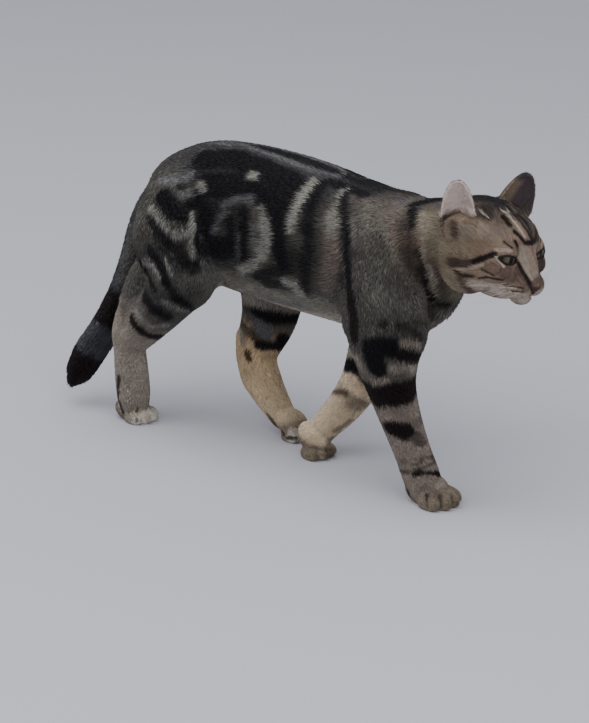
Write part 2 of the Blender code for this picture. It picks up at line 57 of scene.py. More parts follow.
# Shape: the same lofts and head forms as the solids. A torso ring is its place ahead, its top, its bottom and
# half its width. A limb's ring is its middle, then half its width and half its depth.
TORSO = (
    (-15.3, 20.5, 16.4, 1.9),
    (-14.0, 22.4, 15.0, 3.3),
    (-12.0, 24.2, 14.2, 4.2),
    (-9.0, 25.5, 13.6, 4.7),
    (-6.0, 25.9, 13.2, 4.8),
    (-2.0, 25.9, 13.0, 5.2),
    (2.0, 25.6, 12.9, 5.3),
    (5.5, 25.1, 12.8, 5.2),
    (9.0, 24.8, 12.7, 4.9),
    (11.6, 24.8, 13.3, 4.3),
    (13.5, 23.7, 13.5, 3.1),
)
LINES = {
    "neck": (
        (10.0, 0.0, 19.8, 4.2, 5.2),
        (12.8, 0.0, 20.6, 4.0, 4.42),
        (15.0, 0.0, 21.8, 3.8, 3.35),
        (16.6, 0.0, 22.1, 3.6, 2.95),
        (18.2, 0.0, 22.5, 3.2, 2.6),
    ),
    "tail": (
        (-13.2, 0.0, 20.9, 2.0, 2.0),
        (-15.4, 0.0, 18.9, 1.8, 1.8),
        (-16.9, 0.0, 16.6, 1.65, 1.65),
        (-17.9, -0.3, 13.6, 1.5, 1.5),
        (-18.8, -0.8, 10.8, 1.45, 1.45),
        (-20.0, -1.6, 7.8, 1.45, 1.45),
        (-21.6, -2.3, 5.0, 1.5, 1.5),
        (-22.5, -2.7, 3.2, 1.3, 1.3),
        (-22.9, -2.9, 2.5, 0.9, 0.9),
    ),
    "thigh_right": (
        (-11.2, -2.4, 20.6, 2.4, 4.0),
        (-10.4, -3.3, 18.2, 2.7, 4.8),
        (-9.5, -3.9, 15.3, 2.45, 3.85),
        (-10.45, -4.1, 13.0, 2.1, 2.45),
        (-12.2, -3.9, 11.0, 1.75, 2.0),
        (-14.4, -3.6, 8.9, 1.4, 1.75),
        (-15.7, -3.4, 7.6, 1.2, 1.5),
    ),
    "foot_right": (
        (-16.5, -3.5, 9.7, 0.8, 0.9),
        (-16.3, -3.4, 8.3, 1.15, 1.5),
        (-16.15, -3.2, 6.6, 1.2, 1.6),
        (-16.15, -3.0, 4.6, 1.25, 1.7),
        (-16.3, -2.7, 2.8, 1.3, 1.7),
        (-16.5, -2.4, 1.4, 1.35, 1.4),
    ),
    "thigh_left": (
        (-11.0, 2.4, 20.6, 2.4, 4.0),
        (-9.3, 3.3, 18.2, 2.7, 4.7),
        (-7.2, 3.9, 15.2, 2.4, 4.2),
        (-6.6, 4.1, 12.4, 2.0, 3.4),
        (-6.8, 4.1, 10.0, 1.7, 2.85),
        (-7.4, 3.9, 8.0, 1.45, 2.4),
        (-7.9, 3.7, 6.6, 1.25, 2.0),
    ),
    "foot_left": (
        (-9.3, 3.8, 7.7, 0.8, 0.9),
        (-8.6, 3.7, 6.3, 1.2, 1.5),
        (-7.4, 3.45, 4.8, 1.25, 2.15),
        (-6.1, 3.15, 3.4, 1.25, 1.75),
        (-4.9, 3.0, 2.2, 1.25, 1.35),
        (-4.2, 2.9, 1.5, 1.2, 1.1),
    ),
    "fore_right": (
        (10.0, -2.9, 21.0, 1.9, 3.2),
        (11.2, -3.6, 18.0, 2.2, 3.7),
        (12.1, -4.0, 15.2, 2.15, 4.2),
        (12.2, -4.0, 12.6, 2.0, 3.2),
        (12.4, -3.6, 10.0, 1.7, 2.35),
        (12.95, -3.0, 7.2, 1.5, 1.9),
        (13.7, -2.4, 4.4, 1.35, 1.7),
        (14.2, -2.0, 2.6, 1.35, 1.75),
        (14.6, -1.8, 1.3, 1.4, 1.6),
    ),
    "fore_left": (
        (9.4, 2.9, 21.0, 1.9, 3.2),
        (9.6, 3.6, 18.0, 2.2, 3.5),
        (8.5, 4.0, 15.0, 2.1, 3.2),
        (6.6, 3.9, 12.0, 1.8, 3.0),
        (5.2, 3.5, 9.4, 1.6, 2.6),
        (4.2, 2.9, 6.7, 1.4, 1.95),
        (2.95, 2.2, 4.4, 1.3, 1.6),
        (1.9, 1.6, 3.0, 1.25, 1.4),
        (1.0, 1.3, 1.8, 1.2, 1.2),
    ),
}
TENDON_RIGHT = (
    (-12.4, -3.9, 15.2, 1.3, 1.9),
    (-14.2, -3.9, 12.6, 1.1, 1.6),
    (-15.6, -3.7, 10.4, 0.95, 1.2),
    (-16.2, -3.5, 8.6, 0.95, 1.1),
)
# Each paw: where it stands, how it heads and tips in degrees, and its size.
PAWS = {
    "paw_fore_right": ((15.0, -1.6, 0.0), -4.0, 0.0, 1.1),
    "paw_fore_left": ((0.6, 0.8, 0.0), -4.0, 38.0, 0.92),
    "paw_hind_right": ((-16.6, -2.2, 0.0), 0.0, 0.0, 0.9),
    "paw_hind_left": ((-3.4, 2.9, 0.0), 0.0, 24.0, 0.9),
}
TOES = ((-1.12, 0.75), (-0.4, 1.25), (0.4, 1.25), (1.12, 0.75))
TOE_SIZE = (1.15, 0.52, 0.72)
TOE_RISE = 0.52
BALL_AT = Vector((-0.35, 0.0, 1.05))
BALL_SIZE = (1.75, 1.45, 1.2)

HEAD_AT = Vector((19.9, 0.0, 22.55))
HEAD_TURN = Euler((math.radians(-4.5), math.radians(16.0), math.radians(-5.0)), "XYZ")
HEAD_SCALE = 1.05
HEAD_PLACE = Matrix.Translation(HEAD_AT) @ HEAD_TURN.to_matrix().to_4x4() @ Matrix.Scale(HEAD_SCALE, 4)
HEAD_FORMS = {
    "skull": ((-0.9, 0.0, 0.3), (3.7, 3.6, 2.48)),
    "forehead": ((1.1, 0.0, 0.8), (2.1, 2.4, 2.0)),
    "cheek": ((-0.3, 2.1, -1.45), (2.5, 2.15, 2.5)),
    "jaw": ((0.7, 0.0, -2.2), (2.9, 2.4, 1.7)),
    "muzzle": ((2.7, 0.0, -1.25), (1.75, 1.7, 1.4)),
    "cheekbone": ((2.05, 1.95, -0.85), (1.35, 1.1, 1.05)),
    "whisker_pad": ((3.7, 0.8, -1.76), (0.98, 0.94, 0.92)),
    "chin": ((3.55, 0.0, -2.7), (0.85, 0.92, 0.65)),
    "brow": ((1.85, 1.4, 0.85), (1.05, 1.0, 0.65)),
    "ear_root": ((-1.4, 2.85, 0.7), (1.25, 1.15, 1.15)),
    "nose_tip": ((4.5, 0.0, -1.38), (0.5, 0.6, 0.45)),
    "lids": ((2.0, 1.6, 0.1), (1.2, 1.2, 1.2)),
}
NOSE_BRIDGE = (
    (1.4, 0.0, 1.2, 1.3, 1.1),
    (2.5, 0.0, 0.6, 1.0, 0.95),
    (3.5, 0.0, -0.35, 0.75, 0.75),
    (4.35, 0.0, -1.2, 0.6, 0.55),
)

# The eye, the lids' opening with its rim, and the cornea's bulge, then the whiskers' droop and thickness.
EYE_AT = Vector((2.0, 1.6, 0.1))
EYE_RADIUS = 1.05
EYE_LOOKS = (math.radians(14.0), math.radians(9.0))
LID_SLANT = math.radians(10.0)
OPENING_HALF_WIDTH = 0.76
UPPER_LID = 0.31
LOWER_LID = 0.25
RIM_SIZE = (0.05, 0.045)
CORNEA_REACH = 0.62
CORNEA_RISE = 0.03
WHISKER_BEND = Vector((-0.3375, 0.0, -0.135))
WHISKER_RADIUS = 0.011
WHISKER_TIP = 0.003

# The lips, the split above them and the nose's wing and nostril, across and up in the head's frame.
LIP_LINE = ((0, -2.3), (0.35, -2.46), (0.85, -2.64), (1.35, -2.6), (1.8, -2.35), (2.1, -2.0))
LIP_SPLIT = ((0, -1.87), (0, -2.35))
NOSE_WING = ((0.34, -1.67), (0.52, -1.53), (0.5, -1.35))
NOSTRIL_AT = (0.3, -1.55)
NOSTRIL_SIZE = (0.16, 0.11)
NOSE_PAD_LOW, NOSE_PAD_TOP = -1.93, -1.17

# Each ear: its root and its tip, the way it opens in degrees, and half its width.
EARS = {
    "ear_right": (Vector((-1.6, -2.55, 0.1)), Vector((-2.28, -3.68, 4.3)), -45.0, 1.22),
    "ear_left": (Vector((-1.25, 2.66, 0.1)), Vector((-1.7, 3.96, 4.08)), -11.0, 1.86),
}
# How deep the ear's cup is and how thick its sheet.
EAR_CUP = 1.3
EAR_THICK = 0.24

# Coat: hair length, depth of the coat, width of a tuft and spacing, at a line's start and its end.
TORSO_HAIR = (0.95, 0.26, 0.078, 0.104)
LIMB_HAIR = (0.95, 0.26, 0.075, 0.102)
HOCK_HAIR = (0.45, 0.12, 0.05, 0.088)
SHIN_HAIR = (0.35, 0.09, 0.045, 0.082)
PAW_HAIR = (0.3, 0.06, 0.04, 0.07)
EAR_HAIR = (0.28, 0.03, 0.035, 0.07)
COAT = {
    "torso": (TORSO_HAIR, TORSO_HAIR),
    "neck": ((1.05, 0.3, 0.075, 0.098), (0.75, 0.22, 0.06, 0.09)),
    "tail": ((1.1, 0.32, 0.08, 0.103), (0.8, 0.32, 0.08, 0.1)),
    **{name: (LIMB_HAIR, (0.5, 0.14, 0.055, 0.092)) for name in ("thigh_right", "thigh_left")},
    **{name: (HOCK_HAIR, SHIN_HAIR) for name in ("foot_right", "foot_left")},
    **{name: (LIMB_HAIR, SHIN_HAIR) for name in ("fore_right", "fore_left")},
    **{name: (PAW_HAIR, PAW_HAIR) for name in PAWS},
    "head": ((0.22, 0.05, 0.035, 0.065), (0.65, 0.19, 0.053, 0.084)),
}
NAMES = list(COAT)
LEG_ROWS = [i for i, name in enumerate(NAMES) if name not in ("torso", "neck", "tail", "head")]

# Coat pieces: the lines whose tufts they hold, which side, and the slot of their finish.
PIECES = {
    "coat_head": (("head",), 0, "head"),
    "coat_neck": (("neck",), 0, "neck"),
    "coat_flank_right": (("torso",), -1, "torso"),
    "coat_flank_left": (("torso",), 1, "torso"),
    "coat_tail": (("tail",), 0, "tail_middle"),
    "coat_hindleg_right": (("thigh_right", "foot_right", "paw_hind_right"), 0, "hindleg_right_thigh"),
    "coat_hindleg_left": (("thigh_left", "foot_left", "paw_hind_left"), 0, "hindleg_left_thigh"),
    "coat_foreleg_right": (("fore_right", "paw_fore_right"), 0, "foreleg_right_upper"),
    "coat_foreleg_left": (("fore_left", "paw_fore_left"), 0, "foreleg_left_upper"),
}

# Where each line's fur lies on the flat unwrap: left, bottom, width around and height along.
CHARTS = {
    "torso": (0.02, 0.02, 0.62, 0.42),
    "neck": (0.02, 0.45, 0.62, 0.16),
    "tail": (0.66, 0.02, 0.18, 0.4),
    "thigh_right": (0.02, 0.64, 0.16, 0.34),
    "thigh_left": (0.19, 0.64, 0.16, 0.34),
    "fore_right": (0.36, 0.64, 0.16, 0.34),
    "fore_left": (0.53, 0.64, 0.16, 0.34),
    "foot_right": (0.87, 0.02, 0.1, 0.16),
    "foot_left": (0.87, 0.2, 0.1, 0.16),
    "paw_fore_right": (0.87, 0.38, 0.055, 0.08),
    "paw_fore_left": (0.93, 0.38, 0.055, 0.08),
    "paw_hind_right": (0.87, 0.48, 0.055, 0.08),
    "paw_hind_left": (0.93, 0.48, 0.055, 0.08),
    "head": (0.71, 0.64, 0.27, 0.22),
    "ear_in": (0.71, 0.88, 0.12, 0.1),
    "ear_back": (0.85, 0.88, 0.12, 0.1),
}
# Each tuft's patch on the unwrap.
PATCH = 0.003

# How deep a tuft is rooted, how thick it is for its width, and how far it strays from the lie, in radians.
ROOT_SUNK = 0.03
TUFT_THICK = 0.45
TUFT_SWING = 0.16

# How soft the head's markings end against the body's, and how far the lids' black reaches.
FACE_SHARPNESS = 0.35
LID_BLACK_REACH = 0.16

# The camera's view: the way it looks, where it stands in centimetres, and its reach in twelfths of one.
AZIMUTH, ELEVATION = math.radians(40), math.radians(19)
VIEW_RIGHT = Vector((math.cos(AZIMUTH), math.sin(AZIMUTH), 0))
VIEW_BACK = Vector((math.sin(AZIMUTH), -math.cos(AZIMUTH), math.tan(ELEVATION))).normalized()
VIEW_UP = VIEW_BACK.cross(VIEW_RIGHT)
VIEW_FROM = Vector((180.35, -215.64, 105.04))
VIEW_MIDDLE = (294.5, 361.5)
VIEW_REACH = 3600
SENSOR = 36
LENS = 179.25

# Markings, with some strokes of painted shade among them, each noted above its row. Each row: tint, radius
# and strength, then the points of a stroke as seen from the camera's place.
# They are counted right and down from that view's corner, in twelfths of a centimetre, and the radius too.
# Later rows lie over earlier ones.
MARKS = (
    ("dusk", 20, 0.75, (205, 168), (240, 170), (280, 186), (312, 196)),
    ("dusk", 18, 0.75, (205, 205), (235, 215), (238, 245), (215, 250)),
    ("dusk", 13, 0.75, (282, 212), (283, 245), (296, 262)),
    ("dusk", 10, 0.65, (312, 236), (308, 284)),
    ("dusk", 10, 0.7, (345, 186), (378, 192)),
    ("dusk", 8, 0.65, (376, 192), (400, 194), (436, 200)),
    ("dusk", 11, 0.6, (163, 240), (176, 262), (192, 262)),
    ("dusk", 9, 0.5, (150, 292), (172, 302)),
    ("dusk", 8, 0.5, (352, 210), (350, 290)),
    ("dusk", 9, 0.5, (406, 222), (407, 262), (414, 290)),
    ("haze", 14, 0.35, (372, 215), (378, 255), (374, 290)),
    ("haze", 9, 0.4, (378, 300), (400, 306)),
    ("haze", 9, 0.5, (140, 215), (130, 250), (126, 285)),
    ("haze", 9, 0.6, (190, 280), (206, 278)),
    ("haze", 10, 0.75, (236, 290), (268, 297), (300, 304), (330, 306)),
    ("buff", 7, 0.65, (238, 296), (268, 302), (300, 308)),
    ("black", 12, 1.0, (205, 160), (235, 159), (262, 168), (290, 182), (300, 192)),
    ("black", 13, 1.0, (207, 186), (235, 186), (268, 194), (280, 212)),
    ("black", 11, 1.0, (208, 212), (207, 228)),
    ("black", 11, 1.0, (212, 247), (236, 247)),
    ("black", 6, 1.0, (246, 212), (246, 255)),
    ("black", 6, 0.9, (232, 222), (234, 240)),
    ("black", 9, 1.0, (281, 212), (279, 240), (284, 262)),
    ("black", 6, 0.85, (258, 276), (272, 272), (290, 270)),
    ("black", 6, 0.8, (268, 282), (286, 284)),
    ("black", 8, 0.9, (320, 188), (312, 206), (308, 228)),
    ("black", 6, 0.7, (310, 232), (309, 262), (307, 290)),
    ("black", 6, 0.95, (330, 184), (350, 190), (366, 196)),
    ("black", 5, 0.95, (350, 192), (345, 204), (347, 225), (348, 250), (350, 275), (351, 292)),
    ("black", 3, 0.95, (197, 222), (196, 262)),
    ("black", 10, 1.0, (165, 196), (174, 208), (184, 214)),
    ("black", 6, 1.0, (190, 204), (201, 200)),
    ("black", 5, 0.9, (152, 218), (160, 230), (171, 243)),
    ("black", 6, 0.95, (152, 250), (160, 262), (167, 282)),
    ("black", 5, 0.85, (167, 282), (177, 296), (192, 307)),
    ("black", 6, 0.7, (178, 246), (184, 262), (194, 268)),
    ("black", 4, 0.95, (142, 260), (149, 273), (156, 288)),
    ("black", 8, 0.95, (146, 296), (152, 307), (166, 315)),
    ("brown", 5.5, 1.0, (133, 319), (139, 329), (148, 335), (160, 335)),
    ("black", 3, 0.85, (175, 299), (190, 305)),
    ("black", 4.5, 0.9, (252, 147), (290, 158), (330, 172), (368, 187)),
    ("dusk", 5, 0.8, (368, 188), (402, 193), (438, 200)),
    ("black", 6.5, 1.0, (416, 206), (440, 202)),
    ("black", 6, 1.0, (414, 212), (415, 224)),
    ("black", 4, 1.0, (438, 194), (444, 196)),
    ("dusk", 6, 0.55, (413, 224), (415, 245), (419, 262), (421, 284)),
    ("brown", 3, 0.95, (419, 252), (424, 268), (427, 282)),
    ("brown", 6.5, 0.95, (352, 296), (355, 318), (355, 336)),
    ("brown", 5, 0.5, (343, 272), (344, 284)),
    ("brown", 3, 1.0, (426, 280), (430, 291), (434, 298), (440, 302), (449, 302)),
    ("umber", 2.4, 0.8, (432, 262), (436, 272), (440, 286)),
    ("brown", 3.5, 0.6, (398, 325), (410, 328), (420, 337)),
    ("brown", 3, 0.5, (412, 320), (426, 322)),
    ("brown", 3, 0.55, (381, 321), (386, 325)),
    ("brown", 2.5, 0.6, (378, 326), (388, 322)),
    ("grey", 3.2, 0.75, (214, 145), (245, 147), (262, 153), (290, 163), (322, 175), (340, 178)),
    ("pale", 5, 1.0, (254, 176), (257, 177)),
    ("pale", 4.5, 0.8, (202, 185), (204, 188)),
    ("grey", 6, 0.8, (163, 180), (178, 180), (192, 176)),
    ("grey", 4, 0.8, (182, 193), (192, 194)),
    ("black", 3, 0.8, (180, 187), (186, 187)),
    ("grey", 4, 0.7, (226, 205), (237, 199), (253, 200)),
    ("grey", 3, 0.65, (228, 211), (221, 220), (215, 231)),
    ("pale", 3.5, 0.85, (263, 208), (266, 218)),
    ("pale", 7, 0.95, (266, 222), (268, 238), (264, 254)),
    ("pale", 4.5, 0.8, (262, 258), (254, 267), (244, 270)),
    ("grey", 4, 0.6, (256, 228), (255, 248)),
    ("grey", 2.5, 0.5, (240, 232), (240, 255)),
    ("pale", 5, 1.0, (315, 183), (306, 194), (300, 206), (294, 219), (292, 230)),
    ("pale", 2.2, 0.9, (350, 190), (343, 194), (338, 206)),
    ("pale", 7, 0.8, (334, 216), (333, 234)),
    ("rose", 8, 0.75, (333, 240), (332, 262), (329, 288)),
    ("pale", 2.5, 0.5, (354, 222), (357, 242)),
    ("pale", 3.5, 0.9, (152, 206), (158, 215), (168, 229)),
    ("pale", 4.5, 0.75, (176, 234), (188, 232)),
    ("pale", 2.8, 0.9, (192, 214), (192, 232), (191, 246), (194, 256)),
    ("grey", 3, 0.7, (202, 262), (208, 270)),
    ("pale", 3, 0.9, (144, 259), (153, 263), (160, 276)),
    ("pale", 2.2, 0.7, (167, 260), (172, 273)),
    ("pale", 2.5, 0.8, (163, 300), (174, 306), (187, 309)),
    ("pale", 2.6, 0.95, (136, 312), (143, 319), (152, 326), (166, 324)),
    ("pale", 5.5, 0.85, (288, 281), (298, 284), (302, 292)),
    ("grey", 6, 0.6, (262, 292), (280, 300), (300, 304)),
    ("grey", 2, 0.6, (397, 205), (412, 203)),
    ("olive", 10, 0.8, (430, 218), (433, 240), (446, 268), (456, 288)),
    ("buff", 5, 0.45, (426, 216), (427, 236)),
    ("buff", 2.8, 0.95, (424, 240), (425, 256), (429, 268), (433, 280), (439, 294)),
    ("black", 11, 1.0, (371, 348), (380, 346), (392, 347)),
    ("black", 11.5, 1.0, (374, 358), (377, 366)),
    ("brown", 7, 1.0, (402, 354), (410, 355), (418, 356)),
    ("buff", 4.5, 0.85, (404, 342), (417, 345)),
    ("buff", 4, 0.7, (350, 350), (358, 356), (362, 366)),
    ("brown", 12, 1.0, (377, 396), (392, 396), (408, 393)),
    ("brown", 7, 1.0, (376, 393), (392, 389), (412, 385)),
    ("brown", 9, 1.0, (391, 427), (398, 429), (405, 431)),
    ("brown", 5.5, 0.65, (416, 436), (422, 442)),
    ("brown", 1.6, 0.6, (412, 465), (422, 462)),
    ("brown", 1.8, 0.7, (421, 459), (432, 456)),
    ("brown", 2.6, 1.0, (415, 474), (424, 473), (440, 473)),
    ("cream", 5.5, 0.6, (393, 369), (404, 367), (414, 368)),
    ("buff", 3, 0.8, (374, 382), (388, 379)),
    ("brown", 2, 0.9, (408, 490), (412, 501), (419, 507)),
    ("black", 8, 1.0, (348, 364), (355, 366)),
    ("brown", 4, 0.9, (356, 370), (362, 377), (368, 385)),
    ("buff", 5, 0.8, (350, 351), (354, 353)),
    ("umber", 4, 0.9, (333, 391), (345, 393)),
    # Painted shade in the fold at the left foreleg's wrist.
    ("brown", 3, 0.5, (334, 431), (342, 427), (350, 420)),
    # Painted shade down the side of the left forearm that is turned from the light.
    ("umber", 7, 0.5, (352, 404), (362, 404)),
    ("black", 6, 1.0, (256, 310), (264, 315), (280, 319), (296, 317)),
    ("grey", 8, 0.9, (259, 326), (266, 332)),
    ("grey", 5, 0.6, (243, 330), (244, 342)),
    ("pale", 3, 0.6, (254, 304), (262, 304)),
    ("brown", 2, 0.5, (253, 326), (256, 340)),
    ("black", 8, 1.0, (283, 338), (287, 342)),
    ("brown", 5, 1.0, (259, 345), (272, 346), (284, 345)),
    ("umber", 4, 0.35, (264, 358), (278, 357)),
    ("rust", 4, 0.95, (248, 353), (250, 358)),
    ("black", 2.4, 0.9, (119.5, 376), (118.5, 386), (118.5, 398), (123.5, 412)),
    ("rose", 4, 0.6, (123, 308), (124, 322)),
    ("brown", 1.4, 0.5, (134, 349), (147, 351)),
    ("brown", 1.2, 0.7, (137, 408), (137, 421)),
    # Painted shade on the side of the left fore paw that faces down.
    ("umber", 6, 0.6, (330, 440), (329, 454)),
    # Painted shadow, a thin dark line along the left hind foot's edge.
    ("brown", 1.6, 0.8, (268, 414), (275, 424), (284, 434)),
    ("cream", 3.5, 0.9, (292, 430), (294, 432)),
    # Painted shade in the crease under the left hind paw's pale toe.
    ("brown", 1.5, 0.9, (287, 438), (296, 438)),
    ("umber", 6, 0.4, (424, 490), (436, 496)),
    # These three thin lines are painted shade in the gaps between the right fore paw's toes.
    ("brown", 1.6, 0.8, (426, 495), (428, 506)),
    ("brown", 1.5, 0.7, (440, 496), (441, 507)),
    ("brown", 1.3, 0.5, (451, 493), (452, 503)),
    ("cream", 5, 0.9, (143, 413), (149, 418)),
)
# The same on the head, where they are finer.
HEAD_MARKS = (
    ("olive", 11, 0.45, (448, 250), (462, 244), (452, 280)),
    ("dusk", 9, 0.9, (478, 200), (502, 202)),
    ("dusk", 6, 0.6, (486, 208), (500, 208)),
    ("dusk", 7, 0.75, (476, 212), (488, 216)),
    ("dusk", 8, 0.75, (518, 210), (527, 222), (535, 236)),
    # Painted shade on the far side of the face, where the far eye lies in shadow beyond the nose bridge.
    ("dusk", 5, 0.6, (541, 256), (541, 272)),
    ("umber", 6, 0.5, (505, 272), (516, 278), (526, 286)),
    ("umber", 5, 0.45, (484, 264), (496, 270)),
    ("umber", 5, 0.5, (536, 280), (538, 290)),
    ("buff", 6, 0.4, (525, 252), (530, 262), (534, 272)),
    ("buff", 7, 0.4, (462, 232), (480, 230), (496, 236)),
    ("rose", 7, 0.35, (498, 226), (508, 234)),
    ("cream", 5.5, 0.85, (474, 284), (488, 287), (502, 290)),
    ("cream", 6.5, 0.7, (504, 295), (524, 298)),
    ("umber", 3.6, 0.85, (454, 223), (455, 234)),
    ("buff", 1.6, 0.8, (444, 214), (445, 226)),
    ("brown", 2.8, 1.0, (495, 254), (486, 257), (478, 260), (471, 263)),
    ("umber", 4.5, 0.95, (468, 264), (460, 264), (452, 262)),
    ("brown", 1.2, 0.8, (469, 266), (461, 267), (454, 266)),
    ("brown", 1.9, 0.9, (457, 271), (462, 275), (473, 276)),
    # Painted shade along the underside of the near cheek.
    ("umber", 3.5, 0.8, (461, 277), (464, 284), (472, 291), (482, 295)),
    ("brown", 1.3, 0.9, (479, 278), (487, 277), (496, 279), (503, 280)),
    ("brown", 1.1, 0.8, (481, 269), (487, 272), (494, 275)),
    ("umber", 3.2, 0.7, (518, 268), (524, 276), (530, 286)),
    ("brown", 1.8, 0.95, (518, 263), (522, 271), (527, 279), (531, 287), (533, 293)),
    ("brown", 1.2, 0.9, (504, 242), (512, 248)),
    ("brown", 1.4, 1.0, (515, 241), (519, 250)),
    ("brown", 1.4, 1.0, (496, 207), (501, 214)),
    ("brown", 2.4, 1.0, (503, 217), (507, 222), (510, 226)),
    ("brown", 1.7, 1.0, (514, 231), (520, 237), (525, 243)),
    ("brown", 2.6, 1.0, (527, 243), (532, 243)),
    ("brown", 2.4, 0.95, (504, 206), (512, 212)),
    ("brown", 1.5, 0.9, (512, 213), (519, 221), (527, 231), (532, 240)),
    ("brown", 1.6, 0.9, (519, 216), (526, 224)),
    ("cream", 1.2, 0.75, (501, 211), (507, 214), (512, 220), (518, 227), (525, 237)),
    ("cream", 0.9, 0.9, (480, 211), (484, 215), (488, 219)),
    ("cream", 1.6, 0.45, (495, 250), (504, 250), (512, 251)),
    ("cream", 1.7, 0.6, (457, 268), (465, 269), (474, 267), (482, 264)),
    ("cream", 0.9, 0.9, (496, 257), (500, 262), (504, 267)),
    ("buff", 3, 0.6, (521, 248), (523, 258), (527, 268)),
    ("cream", 1.4, 0.45, (519, 257), (523, 265), (528, 273), (532, 279)),
    ("cream", 0.9, 1.0, (503, 287), (516, 288)),
    ("cream", 0.8, 0.9, (502, 291), (511, 292)),
    ("brown", 0.8, 0.8, (504, 285), (514, 287), (524, 288)),
    ("brown", 0.8, 0.8, (512, 291), (523, 292)),
)
# Bands round a limb: the line, the height of the band's middle on it, half its width and its strength.
BANDS = (
    ("fore_right", 9.9, 1.0, 0.85),
    ("fore_right", 7.0, 0.4, 0.4),
    ("fore_right", 4.2, 0.14, 0.4),
    ("fore_right", 3.1, 0.14, 0.7),
    ("fore_left", 13.2, 0.7, 0.8),
    ("fore_left", 10.9, 0.6, 0.8),
    ("fore_left", 8.6, 0.6, 1.0),
    ("fore_left", 5.9, 0.22, 0.3),
    ("thigh_left", 15.6, 0.5, 0.45),
    ("thigh_left", 13.4, 0.5, 0.35),
    ("thigh_left", 10.7, 0.5, 0.6),
    ("thigh_left", 8.2, 0.45, 0.7),
    ("thigh_right", 17.0, 0.5, 0.3),
    ("tail", 15.4, 0.6, 0.4),
    ("tail", 12.9, 0.5, 0.5),
    ("tail", 9.4, 1.75, 0.95),
    ("tail", 3.2, 2.2, 1.0),
)


def linear(code):
    """An sRGB hex value as linear red, green and blue."""
    parts = [int(code[i : i + 2], 16) / 255 for i in (1, 3, 5)]
    return tuple(part / 12.92 if part <= 0.04045 else ((part + 0.055) / 1.055) ** 2.4 for part in parts)


# Colours of the fur, from the back down to the toes.
BACK = linear("#48474a")
FLANK = linear("#57554f")
BELLY = linear("#aaa497")
NECK_FUR = linear("#8a786a")
HEAD_FUR = linear("#8f7c6b")
FACE_FUR = linear("#78645a")
CROWN = linear("#38302f")
CHIN_FUR = linear("#a39488")
TAIL_FUR = linear("#4c4c52")
LEG_TOP = linear("#5c5954")
FORE_FUR = linear("#968a80")
# The left foreleg's fur is painted much paler than the right's: painted light against the shade of the body
# above it.
FORE_FUR_LEFT_PAINTED_LIGHT = linear("#dfcdb2")
HOCK_FUR = linear("#a3998d")
TAN_FUR = linear("#dcc29c")
HOCK_LOW = linear("#c9b79c")
PAW_FUR = linear("#847869")
TOE_WHITE = linear("#cfcac0")
EAR_BACK = linear("#4a433b")
# Inside the ears: the right ear's pale skin is painted paler still, as painted light against the shade in its
# cup. The left ear's olive-brown and slate are painted shade in its cup and along its top.
EAR_INSIDE = linear("#c8b9b1")
EAR_INSIDE_LEFT_PAINTED_SHADE = linear("#7b6b5c")
EAR_SLATE_PAINTED_SHADE = linear("#4a4044")
LID_BLACK = linear("#191412")
NOSE_SKIN = linear("#3f2e2a")
# Tints of the markings, and how softly they end, in centimetres.
TINTS = {
    "black": (linear("#121116"), 0.25),
    "brown": (linear("#1d1414"), 0.2),
    "rust": (linear("#4a3018"), 0.2),
    "umber": (linear("#4f4039"), 0.4),
    "olive": (linear("#7d7763"), 0.9),
    "dusk": (linear("#1c1b20"), 1.1),
    "haze": (linear("#77766e"), 1.0),
    "grey": (linear("#6f6e70"), 0.3),
    "pale": (linear("#93918a"), 0.25),
    "rose": (linear("#80736c"), 0.5),
    "buff": (linear("#a3998c"), 0.35),
    "cream": (linear("#bdb0a3"), 0.2),
}
BLACK, BROWN, DUSK = (TINTS[name][0] for name in ("black", "brown", "dusk"))
# The fur along a line: its colours at the start and further on, then where the second begins and how soon it
# is full, as shares of the line's length.
LINE_COLOURS = {
    "tail": (TAIL_FUR, TAIL_FUR, 0.0, 1.0),
    "thigh_right": (LEG_TOP, HOCK_FUR, 0.6, 0.3),
    "thigh_left": (LEG_TOP, TAN_FUR, 0.75, 0.2),
    "foot_right": (HOCK_FUR, HOCK_FUR, 0.0, 1.0),
    "foot_left": (TAN_FUR, HOCK_LOW, 0.0, 1.0),
    "fore_right": (LEG_TOP, FORE_FUR, 0.35, 0.3),
    # The left foreleg fades to its paler fur, which is painted light against the body's shade.
    "fore_left": (LEG_TOP, FORE_FUR_LEFT_PAINTED_LIGHT, 0.35, 0.3),
    "paw_fore_right": (PAW_FUR, PAW_FUR, 0.0, 1.0),
    "paw_fore_left": (PAW_FUR, PAW_FUR, 0.0, 1.0),
    "paw_hind_right": (PAW_FUR, TOE_WHITE, 0.55, 0.25),
    "paw_hind_left": (PAW_FUR, TOE_WHITE, 0.55, 0.25),
}


def spline(a, b, c, d, t):
    """One number of a Catmull-Rom spline between b and c."""
    return 0.5 * (2 * b + (c - a) * t + (2 * a - 5 * b + 4 * c - d) * t * t + (3 * b - 3 * c + d - a) * t**3)


def smooth_stations(stations, steps):
    """The stations with smooth ones set between them."""
    ends = [stations[0], *stations, stations[-1]]
    found = []
    for i in range(len(stations) - 1):
        window = ends[i : i + 4]
        for step in range(steps):
            found.append(tuple(spline(*column, step / steps) for column in zip(*window)))
    found.append(tuple(stations[-1]))
    return found


def rounded_ends(rings):
    """Rings with three smaller ones past each end, so that a form ends round."""

    def past(ring, away):
        found = []
        for share in (0.55, 0.85, 0.98):
            narrow = math.sqrt(1 - share * share)
            centre = Vector(ring[:3]) + away.normalized() * share * min(ring[3:])
            found.append((*centre, ring[3] * narrow, ring[4] * narrow))
        return found

    first, second, last_but, last = (Vector(rings[i][:3]) for i in (0, 1, -2, -1))
    return [*reversed(past(rings[0], first - second)), *rings, *past(rings[-1], last - last_but)]


